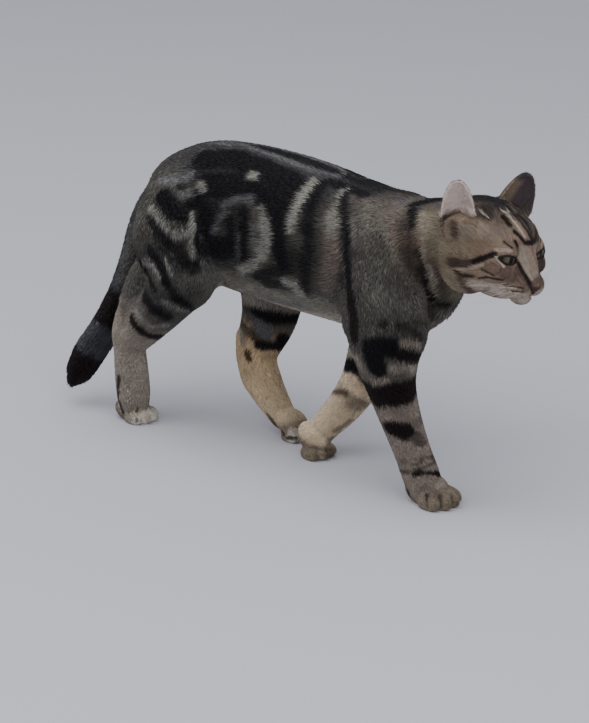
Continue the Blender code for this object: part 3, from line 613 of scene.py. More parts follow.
def as_mesh(bm, name="form"):
    """The bmesh as mesh data, with its faces out."""
    bmesh.ops.recalc_face_normals(bm, faces=bm.faces)
    mesh = bpy.data.meshes.new(name)
    bm.to_mesh(mesh)
    bm.free()
    return mesh


def ring_edges(bm, sides, matrix):
    """The edges of a new ring, always in the same order."""
    circle = bmesh.ops.create_circle(bm, segments=sides, radius=1, matrix=matrix)["verts"]
    return list(dict.fromkeys(edge for vert in circle for edge in vert.link_edges))


def tube(bm, frames, sides):
    """Bridges a ring of each frame to the next, and closes both ends."""
    before = None
    for matrix in frames:
        edges = ring_edges(bm, sides, matrix)
        if before:
            bmesh.ops.bridge_loops(bm, edges=before + edges)
        else:
            bmesh.ops.edgeloop_fill(bm, edges=edges)
        before = edges
    bmesh.ops.edgeloop_fill(bm, edges=before)


def ring_frames(rings, side=Vector((0, 1, 0))):
    """Frames across the line of the rings, as wide and deep as each ring."""
    centres = [Vector(ring[:3]) for ring in rings]
    frames = []
    for i, ring in enumerate(rings):
        along = (centres[min(i + 1, len(rings) - 1)] - centres[max(i - 1, 0)]).normalized()
        across = (side - along * side.dot(along)).normalized()
        turn = Matrix((across, along.cross(across), along)).transposed().to_4x4()
        frames.append(Matrix.Translation(centres[i]) @ turn @ Matrix.Diagonal((ring[3], ring[4], 1, 1)))
    return frames


def loft(stations, place=Matrix.Identity(4)):
    """A closed tube of elliptic rings along the stations."""
    bm = bmesh.new()
    frames = ring_frames(rounded_ends(smooth_stations(stations, 4)))
    tube(bm, [place @ frame_matrix for frame_matrix in frames], RING_SIDES)
    return as_mesh(bm)


def ellipsoid(centre, radii, place=Matrix.Identity(4), turn=Matrix.Identity(4), sides=32):
    """A ball with these half sizes."""
    bm = bmesh.new()
    matrix = place @ Matrix.Translation(centre) @ turn @ Matrix.Diagonal((*radii, 1))
    bmesh.ops.create_uvsphere(bm, u_segments=sides, v_segments=sides * 2 // 3, radius=1, matrix=matrix)
    return as_mesh(bm)


def placed(name, mesh):
    """The mesh as an object at the origin."""
    made = bpy.data.objects.new(name, mesh)
    bpy.context.scene.collection.objects.link(made)
    return made


def paw_forms(where, heading, tip, size):
    """The ball of the foot and four toes in an arc before it."""
    place = Matrix.Translation(where) @ Matrix.Rotation(math.radians(heading), 4, "Z") @ Matrix.Scale(size, 4)
    knuckles = Matrix.Translation((1.0, 0.0, 0.4))
    tipped = place @ knuckles @ Matrix.Rotation(math.radians(tip), 4, "Y") @ knuckles.inverted()
    forms = [ellipsoid(BALL_AT, BALL_SIZE, tipped)]
    for across, forward in TOES:
        splay = Matrix.Rotation(math.radians(across * 8), 4, "Z")
        forms.append(ellipsoid((forward, across, TOE_RISE), TOE_SIZE, place, splay))
    return forms


def head_forms():
    """The skull, cheeks, muzzle and the rest, in twins where they are off the middle."""
    forms = [loft(NOSE_BRIDGE, HEAD_PLACE)]
    for centre, radii in HEAD_FORMS.values():
        forms.append(ellipsoid(centre, radii, HEAD_PLACE))
        if centre[1]:
            forms.append(ellipsoid((centre[0], -centre[1], centre[2]), radii, HEAD_PLACE))
    return forms


def ear_surface(up, across, height, half_width):
    """A point of the ear's back: up its height, and across it from -1 to 1."""
    width = half_width * math.sqrt(1 - up**2.3) * (1 - 0.35 * max(0.0, 1 - up / 0.3) ** 2)
    wrap = math.radians(88 - 30 * up)
    cup = EAR_CUP * (1 - up) ** 0.6
    swing = across * wrap
    back = cup * (math.cos(swing) - math.cos(wrap)) / (1 - math.cos(wrap))
    return Vector((-back, width * math.sin(swing) / math.sin(wrap), up * height))


def ear_place(root, tip, turned, *_):
    """The ear's frame: +X is the way it opens and +Z runs up to its tip."""
    lean = (tip - root).normalized()
    opening = Vector((math.cos(math.radians(turned)), math.sin(math.radians(turned)), 0.0))
    opening = (opening - lean * opening.dot(lean)).normalized()
    turn = Matrix((opening, lean.cross(opening), lean)).transposed().to_4x4()
    return HEAD_PLACE @ Matrix.Translation(root) @ turn


def ear_sheet(root, tip, turned, half_width, thick=0.0):
    """The ear's cupped sheet, or a shell of that thickness."""
    bm = bmesh.new()
    grid = bmesh.ops.create_grid(bm, x_segments=24, y_segments=20, size=1)["verts"]
    for vert in grid:
        vert.co = ear_surface((vert.co.y + 1) / 2 * 0.995, vert.co.x, (tip - root).length, half_width)
    bmesh.ops.recalc_face_normals(bm, faces=bm.faces)
    if thick:
        bmesh.ops.solidify(bm, geom=bm.faces[:], thickness=thick)
    bmesh.ops.transform(bm, matrix=ear_place(root, tip, turned), verts=bm.verts)
    return as_mesh(bm)


def evaluated(obj):
    """Puts the modifiers' result in the object's own mesh."""
    graph = bpy.context.evaluated_depsgraph_get()
    mesh = bpy.data.meshes.new_from_object(obj.evaluated_get(graph))
    obj.modifiers.clear()
    obj.data = mesh
    return obj


def joined(name, meshes):
    """One object of all these meshes."""
    bm = bmesh.new()
    for mesh in meshes:
        bm.from_mesh(mesh)
    return placed(name, as_mesh(bm))


def fused(name, meshes, voxel, smoothing):
    """The forms as one smooth closed skin."""
    made = joined(name, meshes)
    remesh = made.modifiers.new("fuse", "REMESH")
    remesh.mode = "VOXEL"
    remesh.voxel_size = voxel
    if smoothing:
        smooth = made.modifiers.new("smooth", "SMOOTH")
        smooth.factor = 0.5
        smooth.iterations = smoothing
    return evaluated(made)


def coords(mesh):
    """The mesh's points as an array."""
    flat = np.empty(len(mesh.vertices) * 3, dtype=np.float64)
    mesh.vertices.foreach_get("co", flat)
    return flat.reshape(-1, 3)


def normals_of(mesh):
    """The mesh's point normals as an array."""
    flat = np.empty(len(mesh.vertices) * 3, dtype=np.float32)
    mesh.vertex_normals.foreach_get("vector", flat)
    return flat.reshape(-1, 3).astype(np.float64)


def set_coords(mesh, points):
    """Moves the mesh's points."""
    mesh.vertices.foreach_set("co", np.ascontiguousarray(points, dtype=np.float32).ravel())
    mesh.update()


def carried(matrix, points):
    """The points through the matrix."""
    rows = np.array(matrix)
    return points @ rows[:3, :3].T + rows[:3, 3]


def fade(values, start, over):
    """0 up to the start, and from there to 1 over so much more."""
    return np.clip((values - start) / over, 0, 1)


def soft_step(share):
    """The share from 0 to 1 with an eased start and end."""
    return share * share * (3 - 2 * share)


def mixed(below, above, share):
    """One colour or rows of them, mixed to another by a share for each row."""
    below = np.asarray(below)
    return below + (np.asarray(above) - below) * share[:, None]


def on_right(points):
    """The points, with those on the left side mirrored to the right one."""
    return points * (1, 0, 1) - np.abs(points) * (0, 1, 0)


def unit(vectors):
    """The vectors at length 1."""
    return vectors / np.maximum(np.linalg.norm(vectors, axis=1, keepdims=True), 1e-9)


def noise(points, size, seed=0):
    """Smooth noise from -1 to 1 in blobs of about this size."""
    grid = points / size
    base = np.floor(grid).astype(np.int64)
    part = grid - base
    ease = soft_step(part)
    total = np.zeros(len(points))
    for corner in range(8):
        step = np.array([corner & 1, corner >> 1 & 1, corner >> 2 & 1])
        cell = base + step
        key = (cell[:, 0] * 73856093) ^ (cell[:, 1] * 19349663) ^ (cell[:, 2] * 83492791) ^ (seed * 2654435)
        key = ((key ^ (key >> 13)) * 1274126177) & 0xFFFFFFFF
        value = (key ^ (key >> 16)) / 2147483648.0 - 1.0
        total += value * np.prod(np.where(step, ease, 1 - ease), axis=1)
    return total


def to_stroke(points, stroke):
    """How far each point is from the stroke's line."""
    best = np.full(len(points), 1e9)
    for start, end in zip(stroke[:-1], stroke[1:]):
        a, b = np.array(start), np.array(end)
        run = b - a
        share = np.clip((points - a) @ run / max(run @ run, 1e-9), 0, 1)
        best = np.minimum(best, np.linalg.norm(points - a - share[:, None] * run, axis=1))
    return best


def laid(stroke, tree):
    """The stroke's line carried from the camera's view onto the skin, cut where it would leap."""
    lines, line = [], []
    steps = [stroke[0]]
    for (x0, y0), (x1, y1) in zip(stroke[:-1], stroke[1:]):
        count = max(1, round(math.hypot(x1 - x0, y1 - y0) / 1.5))
        steps += [(x0 + (x1 - x0) * k / count, y0 + (y1 - y0) * k / count) for k in range(1, count + 1)]
    for x, y in steps:
        way = VIEW_RIGHT * (x - VIEW_MIDDLE[0]) - VIEW_UP * (y - VIEW_MIDDLE[1]) - VIEW_BACK * VIEW_REACH
        found = tree.ray_cast(VIEW_FROM, way.normalized())[0]
        if found is None or (line and (found - line[-1]).length > 1.2):
            if line:
                lines.append(line)
            line = []
        if found is not None:
            line.append(found)
    if line:
        lines.append(line)
    return lines


def laid_marks(marks, skin):
    """All of these marks on the skin: tint, radius in centimetres, strength and lines."""
    tree = tree_of(skin)
    found = []
    for tint, radius, strength, *stroke in marks:
        for line in laid(stroke, tree):
            found.append((tint, radius / 12, strength, np.array([tuple(point) for point in line])))
    return found


def painted(total, points, marks, ragged, sharp, where):
    """Lays the marks over the colours in turn, with ragged soft edges."""
    for tint, radius, strength, line in marks:
        colour, soft = TINTS[tint]
        edge = soft * sharp + 0.2 * radius
        reach = radius + edge + 0.4
        box = ((points > line.min(0) - reach) & (points < line.max(0) + reach)).all(1) & (where > 0.01)
        rows = np.nonzero(box)[0]
        if not len(rows):
            continue
        line = np.concatenate([line, line[-1:]])
        near = to_stroke(points[rows], line) + ragged[rows]
        shown = strength * soft_step(fade(radius - near, -0.5 * edge, edge)) * where[rows]
        total[rows] += (colour - total[rows]) * shown[:, None]
    return total


class Line:
    """A limb's middle line, with its rings, the way along it and the way round it."""

    def __init__(self, stations):
        rings = np.array(smooth_stations(stations, 8))
        self.centres = rings[:, :3]
        self.radii = np.sqrt(rings[:, 3] * rings[:, 4])
        self.wide, self.deep = rings[:, 3], rings[:, 4]
        self.along = unit(np.gradient(self.centres, axis=0))
        side = np.array([0.0, 1.0, 0.0]) - self.along * self.along[:, 1:2]
        self.side = unit(side)
        self.depth = np.cross(self.along, self.side)
        steps = np.linalg.norm(np.diff(self.centres, axis=0), axis=1)
        self.run = np.concatenate([[0], np.cumsum(steps)])

    def share(self, rings):
        """How far along the line these rings are."""
        return self.run[rings] / self.run[-1]

    def nearest(self, points):
        """Each point's ring, and how far out it is, as a share of that ring's size."""
        rings, shares = [], []
        for start in range(0, len(points), 20000):
            gap = points[start : start + 20000, None, :] - self.centres[None]
            across = (gap * self.side).sum(2) / self.wide
            deep = (gap * self.depth).sum(2) / self.deep
            ahead = (gap * self.along).sum(2) / self.radii
            share = np.sqrt(across**2 + deep**2 + ahead**2)
            rings.append(share.argmin(1))
            shares.append(share.min(1))
        return np.concatenate(rings), np.concatenate(shares)


TORSO_LINE = [(x, 0.0, (top + bottom) / 2, wide, (top - bottom) / 2) for x, top, bottom, wide in TORSO]


def paw_line(where, heading, tip, size):
    """The paw's line from the ball to the toes."""
    turn = Matrix.Rotation(math.radians(heading), 3, "Z")
    back, front = (Vector(where) + turn @ Vector((x, 0, z)) * size for x, z in ((-1.2, 1.2), (1.7, 0.45)))
    rings = ((back, 1.4, 1.2), ((back + front) / 2, 1.5, 1.0), (front, 1.4, 0.7))
    return [(*centre, wide * size, deep * size) for centre, wide, deep in rings]


ALL_LINES = {"torso": Line(TORSO_LINE)}
ALL_LINES.update({name: Line(stations) for name, stations in LINES.items()})
ALL_LINES.update({name: Line(paw_line(*paw)) for name, paw in PAWS.items()})
HEAD_IN = np.array(HEAD_PLACE.inverted())
HEAD_MIDDLE = np.array([0.4, 0.0, -0.3])
HEAD_REACH = np.array([3.9, 3.7, 3.2])
NOSE_AT = np.array([4.7, 0.0, -1.1])


def in_head(points):
    """The points in the head's own frame."""
    return carried(HEAD_IN, points)


def place_on_body(points):
    """For each point its share of each line, the ring on it, and the way the hair lies."""
    shares, rings, lies = [], [], []
    for name in NAMES[:-1]:
        line = ALL_LINES[name]
        ring, share = line.nearest(points)
        lie = line.along[ring].copy()
        if name in ("torso", "neck"):
            out = points - line.centres[ring]
            sideways = np.abs(out[:, 1]) / line.wide[ring]
            lie = -lie
            lie[:, 2] -= (0.3 if name == "torso" else 0.5) * np.clip(sideways, 0, 1)
        if name.startswith("paw"):
            share = share * 1.1
        shares.append(share)
        rings.append(ring)
        lies.append(unit(lie))
    head = in_head(points)
    shares.append(np.linalg.norm((head - HEAD_MIDDLE) / HEAD_REACH, axis=1))
    rings.append(np.zeros(len(points), dtype=int))
    away = head - NOSE_AT
    lies.append(unit(away @ np.array(HEAD_PLACE)[:3, :3].T))
    shares = np.array(shares).T
    weight = np.exp(-9 * (shares - shares.min(1, keepdims=True)))
    weight /= weight.sum(1, keepdims=True)
    lie = unit((weight[:, :, None] * np.stack(lies, 1)).sum(1))
    return weight, np.array(rings).T, lie


def tree_of(mesh):
    """The mesh's faces, ready for rays and for the nearest point."""
    return BVHTree.FromPolygons([v.co for v in mesh.vertices], [f.vertices[:] for f in mesh.polygons])


def on_ears(points):
    """Which points are on the ears, their side of the sheet, their place on it, its lean and their gap."""
    near = np.full(len(points), 9.0)
    inside, up, across = (np.zeros(len(points)) for _ in range(3))
    lie = np.zeros((len(points), 3))
    head = in_head(points)
    for root, tip, turned, half_width in EARS.values():
        tree = tree_of(ear_sheet(root, tip, turned, half_width))
        place = ear_place(root, tip, turned)
        opening = place.to_3x3() @ Vector((1, 0, 0))
        lean = (place.to_3x3() @ Vector((0, 0, 1))).normalized()
        back_to = place.inverted()
        on_side = math.copysign(1, root.y) * head[:, 1] > 0.8
        for i in np.nonzero(on_side & (head[:, 2] > 0.8) & (head[:, 0] < 2))[0]:
            point = Vector(points[i])
            hit, facing, _, gap = tree.find_nearest(point)
            if gap < near[i]:
                out = (point - hit).dot(facing) * math.copysign(1, facing.dot(opening))
                local = back_to @ point
                near[i] = gap
                inside[i] = out > -0.8 * EAR_THICK
                up[i] = local.z / (tip - root).length
                across[i] = local.y / half_width
                lie[i] = lean
    ear = fade(-near, -0.55, 0.25) * fade(up, 0.24, 0.14)
    return ear, inside, up, across, lie, near


def in_eye(points):
    """Each point in the frame of its own side's eye, at the head's scale."""
    found = np.zeros_like(points)
    side_of = in_head(points)[:, 1]
    for side in (-1, 1):
        rows = side_of * side > 0
        found[rows] = carried(eye_place(side).inverted(), points[rows])
    return found


def eye_place(side):
    """The eye's frame in the cat's: +X is the way it looks."""
    turn = Euler((0.0, -EYE_LOOKS[1], side * EYE_LOOKS[0]), "XYZ").to_matrix().to_4x4()
    slant = Matrix.Rotation(side * LID_SLANT, 4, "X")
    return HEAD_PLACE @ Matrix.Translation((EYE_AT.x, side * EYE_AT.y, EYE_AT.z)) @ turn @ slant


def lid_edge(swing):
    """The edge of the lids' opening at these angles round it: how far across and up, in the eye's frame."""
    rise = np.sin(swing)
    height = np.where(rise > 0, UPPER_LID, LOWER_LID)
    return np.cos(swing) * OPENING_HALF_WIDTH, np.sign(rise) * np.abs(rise) ** 1.2 * height


def lid_gap(eye):
    """How far a point is outside the lids' opening, in the eye's frame, below 0 inside it."""
    rim = np.stack(lid_edge(np.linspace(0, 2 * math.pi, 96, endpoint=False)), 1)
    gap = np.linalg.norm(eye[:, None, 1:] - rim[None], axis=2).min(1)
    across = np.abs(eye[:, 1]) / OPENING_HALF_WIDTH
    height = np.where(eye[:, 2] > 0, UPPER_LID, LOWER_LID) * np.clip(1 - across**2, 1e-4, 1) ** 0.6
    return np.where((across < 1) & (np.abs(eye[:, 2]) < height), -gap, gap)


def values_at(weight, rings, ear, face):
    """Hair length, depth of the coat, tuft width and spacing at each point."""
    found = np.zeros((len(weight), 4))
    for i, name in enumerate(NAMES):
        share = 1 - face if name == "head" else ALL_LINES[name].share(rings[:, i])
        found += weight[:, i : i + 1] * mixed(*COAT[name], share)
    return mixed(found, EAR_HAIR, ear)


def head_colour(head):
    """The head's fur: paler under the chin, darker on the face and darkest on the crown."""
    ahead, high = head[:, 0], head[:, 2]
    colour = mixed(HEAD_FUR, CHIN_FUR, 0.75 * fade(-high, 1.2, 1.0) * fade(ahead, 0.5, 1.5))
    colour = mixed(colour, FACE_FUR, fade(ahead, 2.0, 1.2) * fade(high, -1.6, 0.6))
    return mixed(colour, CROWN, 0.75 * fade(high, 1.7, 0.8) * fade(-ahead, -2.4, 1.5))


def line_colour(name, share, height):
    """The fur of one line, by how far along it and how high each point is."""
    if name == "torso":
        return mixed(mixed(FLANK, BACK, fade(height, 22.5, 2.5)), BELLY, fade(-height, -16.5, 2.5))
    if name == "neck":
        return mixed(NECK_FUR, BACK, 0.7 * fade(height, 22.8, 1.8))
    first, second, start, over = LINE_COLOURS[name]
    return mixed(first, second, fade(share, start, over))


def ear_colour(points, at):
    """The ears' thin skin and sparse hair inside, and their fur behind, black at the tip. Inside the left ear
    the colour is painted darker, olive-brown across to slate and slate at the top, as painted shade in its
    cup. Inside the right ear it is painted pale, partly its own pale skin and partly painted light against
    the cup's shade.
    """
    left = mixed(EAR_INSIDE_LEFT_PAINTED_SHADE, EAR_SLATE_PAINTED_SHADE, fade(at["across"], -0.1, 0.3))
    left = mixed(left, EAR_SLATE_PAINTED_SHADE, fade(at["up"], 0.8, 0.1))
    inner = np.where(points[:, 1:2] > 0, left, EAR_INSIDE)
    outer = mixed(EAR_BACK, BLACK, 0.7 * fade(at["up"], 0.75, 0.2))
    return mixed(outer, inner, at["inside"])


def banded(points, weight, ragged):
    """How strongly the bands round the limbs show at each point."""
    bands = np.zeros(len(points))
    for name, level, half, strength in BANDS:
        line = ALL_LINES[name]
        middle = int(np.abs(line.centres[:, 2] - level).argmin())
        out = points - line.centres[middle]
        gap = np.abs(out @ line.along[middle]) + 0.8 * ragged
        near = np.linalg.norm(out, axis=1) < 1.5 * (2.2 * line.radii[middle] + half)
        on_limb = np.minimum(1, 2.5 * weight[:, NAMES.index(name)])
        bands = np.maximum(bands, strength * fade(-gap, -half - 0.1, 0.2) * on_limb * near)
    return bands


def coat_colours(points, at):
    """The colour of the fur at each point, with its markings and the painted shade and painted light among
    them.
    """
    weight, ear = at["weight"], at["ear"]
    head = in_head(points)
    height = points[:, 2]
    total = weight[:, -1:] * head_colour(head)
    for i, name in enumerate(NAMES[:-1]):
        share = ALL_LINES[name].share(at["rings"][:, i])
        total += weight[:, i : i + 1] * line_colour(name, share, height)
    ragged = 0.14 * noise(points, 0.8, 3) + 0.1 * noise(points, 0.3, 4)
    wobble = 0.4 * np.stack([noise(points, 3.0, seed) for seed in (5, 6, 7)], 1)
    on_body = np.clip(1 - weight[:, -1] - ear, 0, 1)
    left = points[:, 1] > 0
    left_leg = weight[:, LEG_ROWS].sum(1) * left * fade(-height, -19.0, 3.0)
    mottle = np.clip(0.25 + 0.9 * noise(points * (1.6, 1, 0.8), 0.9, 11) + 0.5 * noise(points, 0.4, 12), 0, 1)
    total = mixed(total, DUSK, 0.3 * mottle * on_body * fade(height, 8.0, 6.0))
    deep = mixed(BLACK, BROWN, fade(-height, -15.0, 4.0))
    total = mixed(total, deep, banded(points, weight, ragged) * on_body)
    total = painted(total, points, BODY_LAID, 0.8 * ragged, 1.0, on_body)
    total = painted(total, on_right(points) + wobble, BODY_LAID, ragged, 1.0, on_body * left * (1 - left_leg))
    ragged_face = 0.03 * noise(points, 0.25, 8)
    on_head = np.clip(1.6 * weight[:, -1], 0, 1) * (1 - ear)
    face_points = carried(np.array(HEAD_PLACE), on_right(head))
    total = painted(total, face_points, HEAD_LAID, ragged_face, FACE_SHARPNESS, 0.75 * on_head * left)
    total = painted(total, points, HEAD_LAID, ragged_face, FACE_SHARPNESS, on_head)
    total = mixed(total, LID_BLACK, fade(-at["lid"], -LID_BLACK_REACH, 0.05))
    total = mixed(total, ear_colour(points, at), ear)
    total = mixed(total, NOSE_SKIN, at["nose"])
    shade = 1 + 0.1 * noise(points, 1.6, 9) + 0.08 * noise(points, 0.45, 10)
    return np.clip(total * shade[:, None], 0.002, 0.9)


def unwrapped(points, at):
    """Each point's place on the flat unwrap of the skin: round and along its own line."""
    owner = at["weight"].argmax(1)
    found = np.zeros((len(points), 2))

    def put(chart, rows, around, along):
        left, bottom, wide, high = CHARTS[chart]
        found[rows] = np.stack([left + wide * around, bottom + high * along], 1)

    for i, name in enumerate(NAMES[:-1]):
        rows = owner == i
        line = ALL_LINES[name]
        ring = at["rings"][rows, i]
        out = points[rows] - line.centres[ring]
        swing = np.arctan2((out * line.side[ring]).sum(1), (out * line.depth[ring]).sum(1))
        past = (out * line.along[ring]).sum(1) / line.run[-1]
        put(name, rows, swing / (2 * math.pi) + 0.5, np.clip(line.share(ring) + past, -0.05, 1.05))
    rows = owner == len(NAMES) - 1
    out = unit(in_head(points)[rows] - HEAD_MIDDLE)
    swing = np.arctan2(out[:, 1], -out[:, 2])
    put("head", rows, swing / (2 * math.pi) + 0.5, np.arccos(np.clip(out[:, 0], -1, 1)) / math.pi)
    for name, side in (("ear_in", 1), ("ear_back", 0)):
        rows = (at["ear"] > 0.5) & (at["inside"].round() == side)
        half = np.where(points[rows, 1] > 0, 0.75, 0.25)
        put(name, rows, half + 0.24 * np.clip(at["across"][rows], -1, 1), np.clip(at["up"][rows], 0, 1))
    return np.clip(found, 0.002, 0.998)


def finer(obj, inside, cuts):
    """Cuts the faces whose points are all inside into smaller ones."""
    bm = bmesh.new()
    bm.from_mesh(obj.data)
    chosen = {vert for vert, yes in zip(bm.verts, inside) if yes}
    edges = dict.fromkeys(edge for face in bm.faces if chosen.issuperset(face.verts) for edge in face.edges)
    bmesh.ops.subdivide_edges(bm, edges=list(edges), cuts=cuts, use_grid_fill=True)
    obj.data = as_mesh(bm, "skin")


def thinned(obj, triangles):
    """Fewer triangles on the body, while the head keeps all of its own."""
    head = in_head(coords(obj.data))
    reach = np.linalg.norm(head, axis=1)
    near_ears = (head[:, 2] > 1.0) & (head[:, 0] > -3.4) & (reach < 7)
    body = (reach > 4.8) & ~near_ears
    group = obj.vertex_groups.new(name="thin")
    group.add(np.nonzero(body)[0].tolist(), 1.0, "REPLACE")
    count = sum(len(face.vertices) - 2 for face in obj.data.polygons)
    decimate = obj.modifiers.new("thin", "DECIMATE")
    decimate.ratio = min(1.0, triangles / count)
    decimate.vertex_group = "thin"
    evaluated(obj)
    obj.vertex_groups.clear()


def smoothed(obj, times, share):
    """Relaxes the points, each by its share."""
    mesh = obj.data
    edges = np.empty(len(mesh.edges) * 2, dtype=np.int64)
    mesh.edges.foreach_get("vertices", edges)
    a, b = edges[0::2], edges[1::2]
    points = coords(mesh)
    count = np.bincount(a, minlength=len(points)) + np.bincount(b, minlength=len(points))
    for _ in range(times):
        near = np.zeros_like(points)
        for k in range(3):
            near[:, k] = np.bincount(a, points[b, k], len(points)) + np.bincount(b, points[a, k], len(points))
        points += share[:, None] * 0.5 * (near / np.maximum(count, 1)[:, None] - points)
    set_coords(mesh, points)


def make_skin():
    """The whole animal as one skin, with its ears, before the face is worked."""
    lines = [loft(TORSO_LINE), loft(TENDON_RIGHT), *(loft(line) for line in LINES.values())]
    body = fused("body", lines, BODY_VOXEL, 10)
    paws = [form for paw in PAWS.values() for form in paw_forms(*paw)]
    ears = [ear_sheet(*ear, EAR_THICK) for ear in EARS.values()]
    skin = fused("skin", [body.data, *head_forms(), *paws, *ears], SKIN_VOXEL, 0)
    bpy.data.objects.remove(body)
    points = coords(skin.data)
    head = in_head(points)
    ear, _, up, _, _, near = on_ears(points)
    ear = np.maximum(ear, fade(-near, -0.4, 0.2) * fade(up, 0.0, 0.1))
    front = fade(head[:, 0], 2.5, 1.0)
    smoothed(skin, 12, (1 - 0.8 * ear) * (1 - 0.5 * front))
    return skin


def groove(gap, deep, wide):
    """How deep a groove is at each point, by its gap from the groove's line."""
    return deep * np.exp(-((gap / wide) ** 2))


def work_face(skin):
    """Nostrils, the lip line and the hollow beside the nose, as moves of the skin's points."""
    head = in_head(coords(skin.data))
    front = (head[:, 0] > 2.3) & (np.abs(head[:, 1]) < 2.1) & (head[:, 2] > -3.4) & (head[:, 2] < -0.3)
    finer(skin, front, 2)
    eye = in_eye(coords(skin.data))
    finer(skin, (eye[:, 0] > 0.2) & (np.abs(eye[:, 1]) < 1.2) & (np.abs(eye[:, 2]) < 0.8), 1)
    points = coords(skin.data)
    head = in_head(points)
    ahead, high = head[:, 0], head[:, 2]
    half = np.stack([np.abs(head[:, 1]), high], 1)
    move = groove(to_stroke(half, LIP_LINE), 0.1, 0.07) * ((ahead > 1.8) & (high < -1.5))
    move += groove(to_stroke(half, LIP_SPLIT), 0.07, 0.055) * (ahead > 2.6)
    nostril = np.linalg.norm((half - NOSTRIL_AT) / NOSTRIL_SIZE, axis=1)
    move += groove(nostril, 0.16, 1.0) * (ahead > 4.0)
    move += groove(to_stroke(half, NOSE_WING), 0.05, 0.05) * (ahead > 3.9)
    set_coords(skin.data, points - normals_of(skin.data) * move[:, None])


def stand(skin):
    """Flat soles at the floor."""
    bm = bmesh.new()
    bm.from_mesh(skin.data)
    geometry = [*bm.verts, *bm.edges, *bm.faces]
    cut = bmesh.ops.bisect_plane(
        bm, geom=geometry, dist=1e-5, plane_co=(0, 0, 0.02), plane_no=(0, 0, -1), clear_outer=True
    )["geom_cut"]
    bmesh.ops.holes_fill(bm, edges=[part for part in cut if isinstance(part, bmesh.types.BMEdge)], sides=0)
    bmesh.ops.triangulate(bm, faces=[face for face in bm.faces if len(face.verts) > 4])
    skin.data = as_mesh(bm, "skin")


def own_eye(point):
    """The frame of the eye on the point's own side."""
    return eye_place(math.copysign(1, in_head(np.array([point]))[0, 1]))


def open_lids(skin):
    """Opens the almond between the lids, sets its edge true and turns it in to the eye."""
    eye = in_eye(coords(skin.data))
    inside = (lid_gap(eye) < 0) & (eye[:, 0] > 0.3)
    bm = bmesh.new()
    bm.from_mesh(skin.data)
    bm.verts.ensure_lookup_table()
    chosen = {bm.verts[i] for i in np.nonzero(inside)[0]}
    gone = [face for face in bm.faces if chosen.issuperset(face.verts)]
    rim = dict.fromkeys(vert for face in gone for vert in face.verts)
    rim = [vert for vert in rim if any(not chosen.issuperset(face.verts) for face in vert.link_faces)]
    bmesh.ops.delete(bm, geom=gone, context="FACES")
    for vert in rim:
        place = own_eye(vert.co)
        local = place.inverted() @ vert.co
        swing = math.atan2(local.z / (UPPER_LID if local.z > 0 else LOWER_LID), local.y / OPENING_HALF_WIDTH)
        vert.co = place @ Vector((local.x, *lid_edge(swing)))
    edges = [edge for edge in bm.edges if edge.is_boundary]
    turned = bmesh.ops.extrude_edge_only(bm, edges=edges)["geom"]
    for vert in (part for part in turned if isinstance(part, bmesh.types.BMVert)):
        centre = own_eye(vert.co).translation
        vert.co = centre + (vert.co - centre).normalized() * (EYE_RADIUS * HEAD_SCALE + 0.005)
    bmesh.ops.delete(bm, geom=[vert for vert in bm.verts if not vert.link_faces], context="VERTS")
    bm.to_mesh(skin.data)
    bm.free()


def describe(points):
    """All that the fur and its colours need to know of each point."""
    weight, rings, lie = place_on_body(points)
    ear, inside, up, across, ear_lie, _ = on_ears(points)
    head = in_head(points)
    eye = in_eye(points)
    near = (weight[:, -1] > 0.2) & (eye[:, 0] > 0)
    lid = np.full(len(points), 9.0)
    lid[near] = lid_gap(eye[near])
    wide, high = np.abs(head[:, 1]), head[:, 2]
    half = 0.62 - 0.55 * fade(-high, 1.2, 0.75)
    nose = fade(half - wide, 0.0, 0.05) * (head[:, 0] > 3.9)
    nose *= fade(high, NOSE_PAD_LOW, 0.05) * fade(-high, -NOSE_PAD_TOP, 0.06)
    hair = values_at(weight, rings, ear, fade(head[:, 0], 0.6, 2.0))
    hair[:, 1] *= (1 - fade(-points[:, 2], -0.5, 0.3)) * (1 - 0.8 * nose) * (1 - 0.6 * fade(-lid, -0.3, 0.3))
    lie = unit(mixed(lie, ear_lie, ear))
    at = {"weight": weight, "rings": rings, "lie": lie, "hair": hair, "lid": lid, "nose": nose}
    return {**at, "ear": ear, "inside": inside, "up": up, "across": across}


def add_colours(mesh, colours):
    """The colours as an attribute of the mesh's points."""
    layer = mesh.color_attributes.new("coat", "FLOAT_COLOR", "POINT")
    full = np.ones((len(colours), 4), dtype=np.float32)
    full[:, :3] = colours
    layer.data.foreach_set("color", full.ravel())


def array_mesh(name, points, triangles, colours, places):
    """A mesh of many small closed pieces, with its colours and the map that it is baked on."""
    mesh = bpy.data.meshes.new(name)
    mesh.vertices.add(len(points))
    mesh.vertices.foreach_set("co", np.ascontiguousarray(points, dtype=np.float32).ravel())
    mesh.loops.add(len(triangles) * 3)
    mesh.loops.foreach_set("vertex_index", np.ascontiguousarray(triangles, dtype=np.int32).ravel())
    mesh.polygons.add(len(triangles))
    mesh.polygons.foreach_set("loop_start", np.arange(0, len(triangles) * 3, 3, dtype=np.int32))
    mesh.update(calc_edges=True)
    add_colours(mesh, colours)
    layer = mesh.uv_layers.new(name="OFBake")
    layer.uv.foreach_set("vector", np.ascontiguousarray(places[triangles.ravel()], dtype=np.float32).ravel())
    mesh.shade_smooth()
    return mesh


